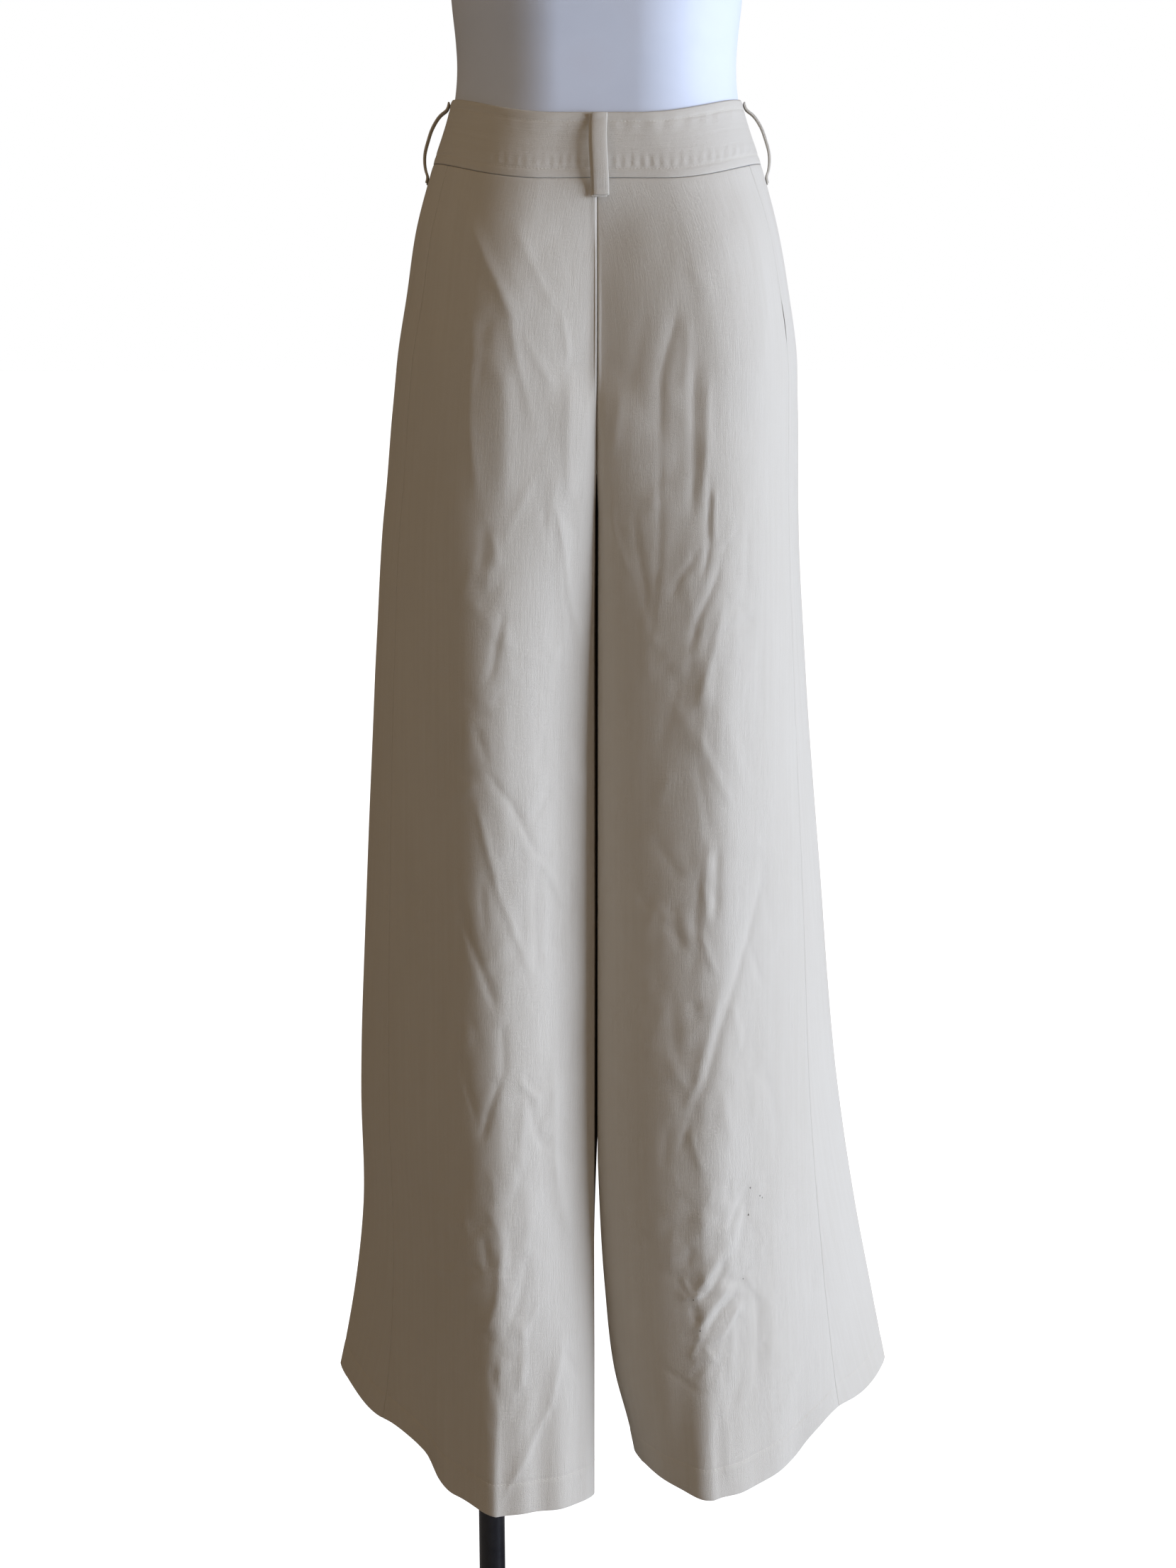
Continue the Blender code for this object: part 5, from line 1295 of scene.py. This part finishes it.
def at_points(grid, height, station):
    """Points and normals of a panel at pairs of height and station, blended from four corners."""
    rows = np.interp(height, grid["height"][::-1], np.arange(len(grid["height"]))[::-1])
    columns = np.interp(station, grid["station"], np.arange(len(grid["station"])))
    i, j = np.floor(rows).astype(int), np.floor(columns).astype(int)
    i, j = np.minimum(i, len(grid["height"]) - 2), np.minimum(j, len(grid["station"]) - 2)
    s, t = (rows - i)[:, None], (columns - j)[:, None]
    return tuple(
        (1 - s) * ((1 - t) * grid[key][i, j] + t * grid[key][i, j + 1])
        + s * ((1 - t) * grid[key][i + 1, j] + t * grid[key][i + 1, j + 1])
        for key in ("points", "normals")
    )


stitches("stitch_waistband", [
    along_row(band, height) for height in (WAIST_TOP - BAND_STITCH, WAIST_SEAM + BAND_STITCH)
])
HEM_SEWN = (0.06, 3.94)  # the stations between which a hem's stitches run
hem_rows = []
for (face_name, side_name), grid_made in panels.items():
    path, normal = along_row(grid_made, HEM[side_name] + HEM_STITCH)
    station = grid_made["station"]
    keep = (station >= HEM_SEWN[0]) & (station <= HEM_SEWN[1])
    hem_rows.append((path[keep], normal[keep]))
stitches("stitch_hems", hem_rows, pitch=0.0034, length=0.0022)

# %% [markdown]
# ## Belt loops
#
# A loop is a narrow strip folded lengthwise and pressed flat, so one edge of its under
# layer peeps out at the side. Its two ends are turned under and sewn down, one near the
# top edge and one below the waist seam, and the strip bows out between them to let a
# belt through. A rounded profile is carried along the path of the frame's own loop.

# %% Belt loops
LOOP_PATH = (
    (1.4988, 0.0004),
    (1.4975, 0.0004),
    (1.4930, 0.0010),
    (1.4870, 0.0052),
    (1.4780, 0.0082),
    (1.4660, 0.0088),
    (1.4540, 0.0076),
    (1.4450, 0.0040),
    (1.4405, 0.0010),
    (1.4370, 0.0004),
    (1.4358, 0.0004),
)
LOOP_WIDTH, LOOP_THICK, LOOP_CROWN = 0.0122, 0.0013, 0.30
UNDER_WIDTH, UNDER_THICK, UNDER_ASIDE, UNDER_REACH = 0.0125, 0.0006, 0.0019, (0.0012, -0.001)
BACK_SHARE, BACK_ASIDE = 0.4, -0.0024  # the back loop stands off less, and a little aside
LOOP_BEND, BEND_START, BEND_ARC = 0.0009, 0.4, 1.4 * np.pi  # how the strip strays sideways
LOOP_STEPS = 56
TIP_SIZE, TIP_PUSH = 0.72, 0.25  # the ring that closes an end, and how far out it is
LOOPS = {
    "loop_back": ("right", BACK_CENTRE, 0.0010),
    "loop_side_left": ("left", 1.98, 0.0),
    "loop_side_right": ("right", 1.98, 0.0),
    "loop_front_left": ("left", 2.62, 0.0),
    "loop_front_right": ("right", 2.62, 0.0),
}


def rounded_strip(width, thick, count=5):
    """Profile (across, out): a flat oblong with half-round edges and a slightly crowned top."""
    turn = np.linspace(-np.pi / 2, np.pi / 2, count)
    r = thick / 2
    edge = np.stack([width / 2 - r + r * np.cos(turn), r + r * np.sin(turn)], 1)
    inner = np.linspace(width / 2 - r, -width / 2 + r, 6)[1:-1]
    crown = np.stack([inner, thick + LOOP_CROWN * thick * (1 - (2 * inner / width) ** 2)], 1)
    under = np.stack([-inner, np.zeros(len(inner))], 1)
    return np.concatenate([edge, crown, edge[::-1] * [-1, 1], under])


def loop_line(side, station, lift, reach):
    """Heights from the top, with the loop's line over the cloth and its way out there."""
    path = by_column(("height", "stand"), LOOP_PATH)
    low, high = path["height"][[0, -1]]
    height = np.linspace(low - reach[0], high + reach[1], LOOP_STEPS)[::-1]
    stand = smooth(height, path["height"], path["stand"])
    at_back = station == BACK_CENTRE
    spots = station + np.array([0.06, 0.08, 0.10] if at_back else [-0.02, 0.0, 0.02])
    surface = plain_cloth(side, height, spots)
    centre, out = surface[:, 1], grid_normals(surface, SIDES[side])[:, 1]
    if at_back:
        centre[:, 0], out[:, 0] = 0.0, 0.0
        out, stand = unit(out), stand * BACK_SHARE
    return centre + (stand + lift)[:, None] * out, out


def loop_strip(name, side, station, lift, width, thick, shift=0.0, reach=(0.0, 0.0)):
    """The profile carried along heights and stand-offs, square to the path at each step."""
    centre, out = loop_line(side, station, lift, reach)
    across = unit(np.cross(out, [0.0, 0.0, 1.0]))
    square = unit(np.cross(unit(np.gradient(centre, axis=0)), across))
    square *= np.sign((square * out).sum(axis=1, keepdims=True))
    profile = rounded_strip(width, thick)
    bend = LOOP_BEND * np.sin(np.linspace(0, BEND_ARC, len(centre)) + BEND_START)[:, None]
    ring = (
        centre[:, None]
        + (profile[:, 0] + shift + bend)[..., None] * across[:, None]
        + profile[None, :, 1:] * square[:, None]
    )
    for end, inward in ((0, 1), (-1, -2)):  # close each end with a smaller ring
        middle = ring[end].mean(axis=0)
        onward = TIP_PUSH * (ring[end] - ring[inward])
        tip = middle + TIP_SIZE * (ring[end] - middle) + onward
        ring = with_lines(ring, [tip], 0, end == -1)
    index = numbered(ring)
    faces = ring_faces(index).reshape(-1, 4).tolist()
    faces += [index[0, ::-1].tolist(), index[-1].tolist()]
    uv = np.broadcast_arrays(lengths(ring[3])[None], lengths(ring[:, 0])[:, None])
    piece = add_piece(name, ring.reshape(-1, 3), faces, cloth, np.stack(uv, -1).reshape(-1, 2))
    face_out(piece)
    return piece


def face_out(piece):
    """Turns a closed piece right side out: the signed volume of an outward shell is positive."""
    mesh = piece.data
    mesh.calc_loop_triangles()
    corners = np.array([[mesh.vertices[i].co[:] for i in t.vertices] for t in mesh.loop_triangles])
    if np.einsum("ij,ij->", corners[:, 0], np.cross(corners[:, 1], corners[:, 2])) < 0:
        mesh.flip_normals()


for node, (side_name, station, lift) in LOOPS.items():
    aside = BACK_ASIDE if node == "loop_back" else 0.0
    upper = loop_strip(f"strip_{node}", side_name, station, lift + 0.0005,
                       LOOP_WIDTH, LOOP_THICK, aside)
    lower = loop_strip(f"under_{node}", side_name, station, lift,
                       UNDER_WIDTH, UNDER_THICK, aside + UNDER_ASIDE, UNDER_REACH)
    for piece in (upper, lower):
        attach(piece, "root")
    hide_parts(node)
print(len(LOOPS), "belt loops")

# %% [markdown]
# ## The fly
#
# At the centre front the right panel is stitched down over a strip, and the stitching
# curves in at its foot. The strip lies on the panel, so its points are the panel's own,
# moved out by a hair.

# %% The fly and its stitching
FLY_TOP, FLY_FOOT, FLY_WIDTH = WAIST_SEAM - 0.0012, 1.298, 0.034
FLY_CURVE, FLY_RAISED, FLY_WALL = 0.042, 0.0014, 0.0008
FLY_START, FLY_SEWN_IN, FLY_SEWN_OUT = 0.0008, 0.003, 0.0013
FLY_ROWS, FLY_COLUMNS = 90, 22
front = panels["front", "right"]
fly_rows = np.linspace(FLY_TOP, FLY_FOOT, FLY_ROWS)
ridge = leg_sizes("right", fly_rows)["ridge"]
foot = np.clip((fly_rows - FLY_FOOT) / FLY_CURVE, 0.0, 1.0)
fly_width = FLY_WIDTH * np.sqrt(np.clip(1 - (1 - foot) ** 2, 0.02, 1.0))
shares = np.linspace(0.0, 1.0, FLY_COLUMNS)
run = FLY_START + shares[None] * fly_width[:, None]
fly_station = FRONT_CENTRE - (FRONT_CENTRE - 3.0) * run / ridge[:, None]
spots, outs = at_points(front, np.repeat(fly_rows, FLY_COLUMNS), fly_station.ravel())
raised = FLY_RAISED * np.clip(np.tile(1 - shares, FLY_ROWS) * 8 + 0.35, 0.0, 1.0)
fly_grid = (spots + raised[:, None] * outs).reshape(FLY_ROWS, FLY_COLUMNS, 3)
fly_faces = cells(FLY_ROWS, FLY_COLUMNS, True)
uv = cloth_uv(fly_grid).reshape(-1, 2)
fly = add_piece("cloth_fly", fly_grid.reshape(-1, 3), fly_faces, cloth, uv)
if fly.data.polygons[0].normal.y < 0:
    fly.data.flip_normals()
give_wall(fly, FLY_WALL)
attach(fly, "root")
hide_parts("fly")
run = (fly_width - FLY_SEWN_IN).clip(0.001)
path, normal = at_points(front, fly_rows, FRONT_CENTRE - (FRONT_CENTRE - 3.0) * run / ridge)
stitches("stitch_fly", [(path + FLY_SEWN_OUT * normal, normal)])

# %% [markdown]
# ## Lint and pulled threads
#
# The cloth isn't clean: low on the right leg there are a few dark specks and one thread
# that has pulled across, and there are two tiny picks on the waistband. The specks and the
# thread are so small that they are laid on as geometry, a fraction of a millimetre high,
# where the cloth has them. The picks are not made.

# %% Specks
SPECK_COLUMNS = ("x", "z", "size")
SPECK_ROWS = (
    (0.131, 0.602, 0.0007),
    (0.141, 0.591, 0.0006),
    (0.143, 0.588, 0.0005),
    (0.131, 0.576, 0.0008),
    (0.084, 0.507, 0.0006),
    (0.089, 0.478, 0.0006),
    (0.127, 0.519, 0.0005),
)
SPECK_SIDES, SPECK_ROUGH, SPECK_TALL = 8, 0.35, 1.5
SPECK_LIFTS, SPECK_GIRTHS = (-0.2, 0.15, 0.3), (1.0, 0.8, 0.35)  # of its rings, in its size
PULLED_PATH = ((0.090, 0.609), (0.110, 0.6075), (0.129, 0.603))


def nearest_on(grid, x, z):
    """The grid point nearest to each (x, z), among those that face back."""
    points = np.where(grid["normals"][..., 1:2] < 0, grid["points"], 9.0).reshape(-1, 3)
    spot = [np.argmin(np.hypot(points[:, 0] - a, points[:, 2] - b)) for a, b in zip(x, z)]
    return points[spot], grid["normals"].reshape(-1, 3)[spot]


specks = dict(zip(SPECK_COLUMNS, np.array(SPECK_ROWS).T))
spot, out = nearest_on(panels["back", "right"], specks["x"], specks["z"])
angle = np.arange(SPECK_SIDES) * 2 * np.pi / SPECK_SIDES
lift, girth = np.array(SPECK_LIFTS), np.array(SPECK_GIRTHS)
across = unit(np.cross(out, [0.0, 0.0, 1.0]))
up = np.cross(across, out)
rough = 1 + SPECK_ROUGH * np.sin(3 * angle + np.arange(len(spot))[:, None])
turned_up = SPECK_TALL * np.sin(angle)[:, None] * up[:, None]
disc = np.cos(angle)[:, None] * across[:, None] + turned_up
rings = (
    spot[:, None, None]
    + (specks["size"][:, None] * lift)[..., None, None] * out[:, None, None]
    + (specks["size"][:, None] * girth)[..., None, None] * (rough[..., None] * disc)[:, None]
)
index = numbered(rings)
faces = ring_faces(index).reshape(-1, 4).tolist()
faces += index[:, 0, ::-1].tolist() + index[:, -1].tolist()
specks_piece = add_piece("lint_specks", rings.reshape(-1, 3), faces, lint)
face_out(specks_piece)
pulled = along(PULLED_PATH, 30)
path, normal = nearest_on(panels["back", "right"], pulled[:, 0], pulled[:, 1])
path[:, [0, 2]] = pulled
path += 0.00005 * normal
thread_line = stitches(
    "pulled_thread", [(path, normal)], pitch=0.0042, length=0.0042, radius=0.00013
)
for piece in (specks_piece, thread_line):
    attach(piece, "root")

# %% [markdown]
# ## The form
#
# The torso is a smooth closed shell. Its sections come from the same superellipse
# formula as the cloth, a little smaller, so it fills the waistband and stays clear of
# the rest. The top rounds over, and the underside is flat where the pole meets it.

# %% The form
FORM_COLUMNS = ("height", "wide", "ridge", "back", "front", "valley")
FORM_ROWS = (
    (1.600, 0.1195, 0.030, 0.0905, 0.0870, 0.0),
    (1.570, 0.1170, 0.030, 0.0890, 0.0860, 0.0),
    (1.545, 0.1145, 0.030, 0.0865, 0.0842, 0.0),
    (1.526, 0.1137, 0.030, 0.0855, 0.0838, 0.0),
    (1.500, 0.1160, 0.030, 0.0870, 0.0850, 0.0001),
    (1.450, 0.1315, 0.042, 0.0980, 0.0932, 0.0030),
    (1.400, 0.1455, 0.052, 0.1040, 0.0960, 0.0080),
    (1.345, 0.1540, 0.060, 0.1105, 0.0965, 0.0130),
    (1.300, 0.1600, 0.064, 0.1140, 0.0965, 0.0150),
)
FORM_TOP, FORM_HIP, FORM_BOTTOM = 1.640, 1.300, 1.262
FORM_ROUND, FORM_TIP, FORM_UNDERSIDE = 0.67, 0.02, 0.84
FORM_RINGS, ROUND_RINGS = 84, 18


def form_surface():
    """Rings of the form: size at each height, scale x cos(turn)^0.67 where an end rounds in."""
    form = by_column(FORM_COLUMNS, FORM_ROWS)
    turn = np.linspace(0.0, np.pi / 2, ROUND_RINGS + 1)[1:]
    inward, sunk = np.cos(turn) ** FORM_ROUND, np.sin(turn) ** FORM_ROUND
    below = FORM_HIP - (FORM_HIP - FORM_BOTTOM) * sunk
    between = np.linspace(FORM_HIP, FORM_SHOULDER, FORM_RINGS)
    above = FORM_SHOULDER + (FORM_TOP - FORM_SHOULDER) * sunk
    level = np.concatenate([below[::-1], between, above])
    height = np.clip(level, FORM_HIP, FORM_SHOULDER)
    underside = FORM_UNDERSIDE + (1 - FORM_UNDERSIDE) * inward
    scale = np.concatenate([underside[::-1], np.ones(FORM_RINGS), np.maximum(inward, FORM_TIP)])
    size = {name: smooth(height, form["height"], form[name]) for name in FORM_COLUMNS[1:]}
    size["outer"] = size["crease"] = np.full_like(height, ROUND_POWER)
    valley = {"back": size["valley"] + 1e-7, "front": FRONT_VALLEY * size["valley"] + 1e-7}
    still = {face: np.zeros_like(height) for face in valley}
    station = stretches((BACK_CENTRE, 1.0, 0.025), (1.0, 3.0, 0.02), (3.0, FRONT_CENTRE, 0.025))
    x, y = section(size, valley, still, still["back"], station)
    z = level[:, None] - row_drop("right", height, size, x, y)
    right = np.stack([x, y, z], axis=-1)
    rings = np.concatenate([right, right[:, -2:0:-1] * [-1.0, 1.0, 1.0]], axis=1)
    rings[..., :2] *= scale[:, None, None]
    return rings


def closed_rings(name, rings, material):
    """Four-sided faces between rings, and a fan to the centre at each end."""
    index = numbered(rings)
    faces = ring_faces(index).reshape(-1, 4).tolist()
    first, last = (np.full(rings.shape[1], index.size + i) for i in (0, 1))
    faces += np.stack([first, np.roll(index[0], -1), index[0]], -1).tolist()
    faces += np.stack([last, index[-1], np.roll(index[-1], -1)], -1).tolist()
    centres = rings[[0, -1]].mean(axis=1)
    piece = add_piece(name, np.concatenate([rings.reshape(-1, 3), centres]), faces, material)
    face_out(piece)
    return piece


torso = closed_rings("form_torso", form_surface(), shell)
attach(torso, "root")
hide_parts("form")
print("form", len(torso.data.polygons), "faces")

# %% [markdown]
# ## The stand
#
# Pole, collar, socket and base were turned on a lathe or pressed round, so each is a
# profile turned about the pole's axis. The edges are broken by a small radius, because
# a perfectly sharp edge catches no light.

# %% The stand
POLE_X, POLE_RADIUS = -0.100, 0.0125
FOOT, SEAT = 0.0123, FORM_BOTTOM - 0.0003
ON_POLE = {"radius": 0.0008, "centre_x": POLE_X, "around": 72}


def broken_edges(profile, radius):
    """Each inner corner of a profile is replaced by three points of a small arc."""
    profile = np.array(profile, float)
    made = [profile[0]]
    for before, corner, after in zip(profile, profile[1:], profile[2:]):
        back, on = before - corner, after - corner
        cut = min(radius, 0.45 * np.linalg.norm(back), 0.45 * np.linalg.norm(on))
        start, end = corner + cut * unit(back), corner + cut * unit(on)
        made += [start, 0.25 * start + 0.5 * corner + 0.25 * end, end]
    return np.array(made + [profile[-1]])


def turned(name, node, profile, radius, centre_x, around, ring_closed=False):
    """A profile of (distance from the axis, height), its edges broken, turned about the axis."""
    profile = broken_edges(profile, radius)
    angle = np.arange(around) * 2 * np.pi / around
    circle = np.stack([np.cos(angle), np.sin(angle), 0 * angle], 1)
    lift = profile[:, 1, None, None] * [0.0, 0.0, 1.0]
    rings = np.array([centre_x, 0.0, 0.0]) + profile[:, :1, None] * circle + lift
    if ring_closed:
        index = numbered(rings)
        faces = ring_faces(np.concatenate([index, index[:1]])).reshape(-1, 4).tolist()
        piece = add_piece(name, rings.reshape(-1, 3), faces, metal)
        face_out(piece)
    else:
        piece = closed_rings(name, rings, metal)
    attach(piece, "root")
    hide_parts(node)


hole, roof = POLE_RADIUS + 0.0003, SEAT - 0.006
turned("stand_base", "base", (
    (0.001, 0.0), (0.167, 0.0), (0.170, 0.003), (0.170, 0.009), (0.167, 0.012), (0.001, 0.012),
), radius=0.0012, centre_x=0.0, around=160)
turned("stand_pole", "pole", (
    (0.001, FOOT), (POLE_RADIUS, FOOT), (POLE_RADIUS, roof - 0.0003), (0.001, roof - 0.0003),
), **ON_POLE)
turned("stand_collar", "collar", (
    (hole, FOOT), (0.024, FOOT), (0.024, FOOT + 0.012), (hole + 0.003, FOOT + 0.024),
    (hole, FOOT + 0.024),
), **ON_POLE, ring_closed=True)
turned("stand_socket", "socket", (
    (0.001, roof), (hole, roof), (hole, roof - 0.030), (0.019, roof - 0.030),
    (0.019, roof - 0.006), (0.032, roof), (0.032, SEAT), (0.001, SEAT),
), **ON_POLE)
print("stand: base, pole, collar and socket")

# %% [markdown]
# ## Light, floor and camera
#
# The light is soft, cool and from the right, as from a large window. The left flank of
# each leg only gets the room's warm glow, and a small, weak lamp lifts the left of the
# seat. The floor is pale and plain. The camera is level with the seat and looks down by
# 13 degrees.

# %% Lights
def area_light(name, place, target, size, power, colour):
    """A square lamp turned to face its target. Its power is in watts."""
    data = bpy.data.lights.new(name, "AREA")
    data.shape, data.size, data.energy, data.color = "SQUARE", size, power, colour
    lamp = bpy.data.objects.new(name, data)
    x, y, z = np.array(target, float) - np.array(place, float)
    lamp.location = place
    lamp.rotation_euler = (math.atan2(math.hypot(x, y), -z), 0.0, math.atan2(y, x) - math.pi / 2)
    bpy.context.collection.objects.link(lamp)


area_light("window", place=(4.33, -1.53, 1.45), target=(0.0, 0.0, 0.80), size=1.9, power=274.0,
           colour=(0.735, 0.828, 1.0))
area_light("room", place=(-1.15, -1.00, 2.2), target=(-0.10, -0.05, 1.45), size=0.9, power=2.4,
           colour=(1.0, 0.93, 0.86))

world = bpy.data.worlds.new("studio")
bpy.context.scene.world = world
world.use_nodes = True
sky = world.node_tree
sky.nodes.clear()
glow, backdrop = add_node(sky, "ShaderNodeBackground"), add_node(sky, "ShaderNodeBackground")
glow.inputs["Color"].default_value = (0.176, 0.122, 0.066, 1.0)
backdrop.inputs["Color"].default_value = (1.0, 1.0, 1.0, 1.0)
seen, mix, surface = (add_node(sky, kind) for kind in
                      ("ShaderNodeLightPath", "ShaderNodeMixShader", "ShaderNodeOutputWorld"))
sky.links.new(seen.outputs["Is Camera Ray"], mix.inputs["Fac"])
sky.links.new(glow.outputs[0], mix.inputs[1])
sky.links.new(backdrop.outputs[0], mix.inputs[2])
sky.links.new(mix.outputs[0], surface.inputs["Surface"])

# %% Floor
FLOOR_SIDES, FLOOR_REACH, FLOOR_LEVEL = 96, 60.0, -0.0002
angle = np.arange(FLOOR_SIDES) * 2 * np.pi / FLOOR_SIDES
edge = FLOOR_REACH * np.stack([np.cos(angle), np.sin(angle)], 1)
floor_points = np.column_stack([edge, np.full(FLOOR_SIDES, FLOOR_LEVEL)])
floor_finish, floor_tree, floor_shader = new_material("pale_floor", (0.42, 0.42, 0.42), 0.9)
floor_shader.inputs["Emission Color"].default_value = (1.0, 1.0, 1.0, 1.0)
direct = add_node(floor_tree, "ShaderNodeLightPath")
floor_tree.links.new(math_node(floor_tree, "MULTIPLY", direct.outputs["Is Camera Ray"], 1.2),
                     floor_shader.inputs["Emission Strength"])
floor = add_piece("floor", floor_points, [list(range(FLOOR_SIDES))], floor_finish)

# %% Camera
FOCAL, PICTURE_HEIGHT, SENSOR, TILT = 2800, 2212, 36.0, 13  # pixels, pixels, mm, degrees
camera_data = bpy.data.cameras.new("camera")
camera_data.sensor_width = SENSOR
camera_data.lens = FOCAL / PICTURE_HEIGHT * SENSOR
camera = bpy.data.objects.new("camera", camera_data)
camera.location = (-0.007, -1.711, 1.3213)
camera.rotation_euler = (math.radians(90 - TILT), 0.0, 0.0)
bpy.context.collection.objects.link(camera)
bpy.context.scene.camera = camera
bpy.context.scene.view_settings.view_transform = "Standard"
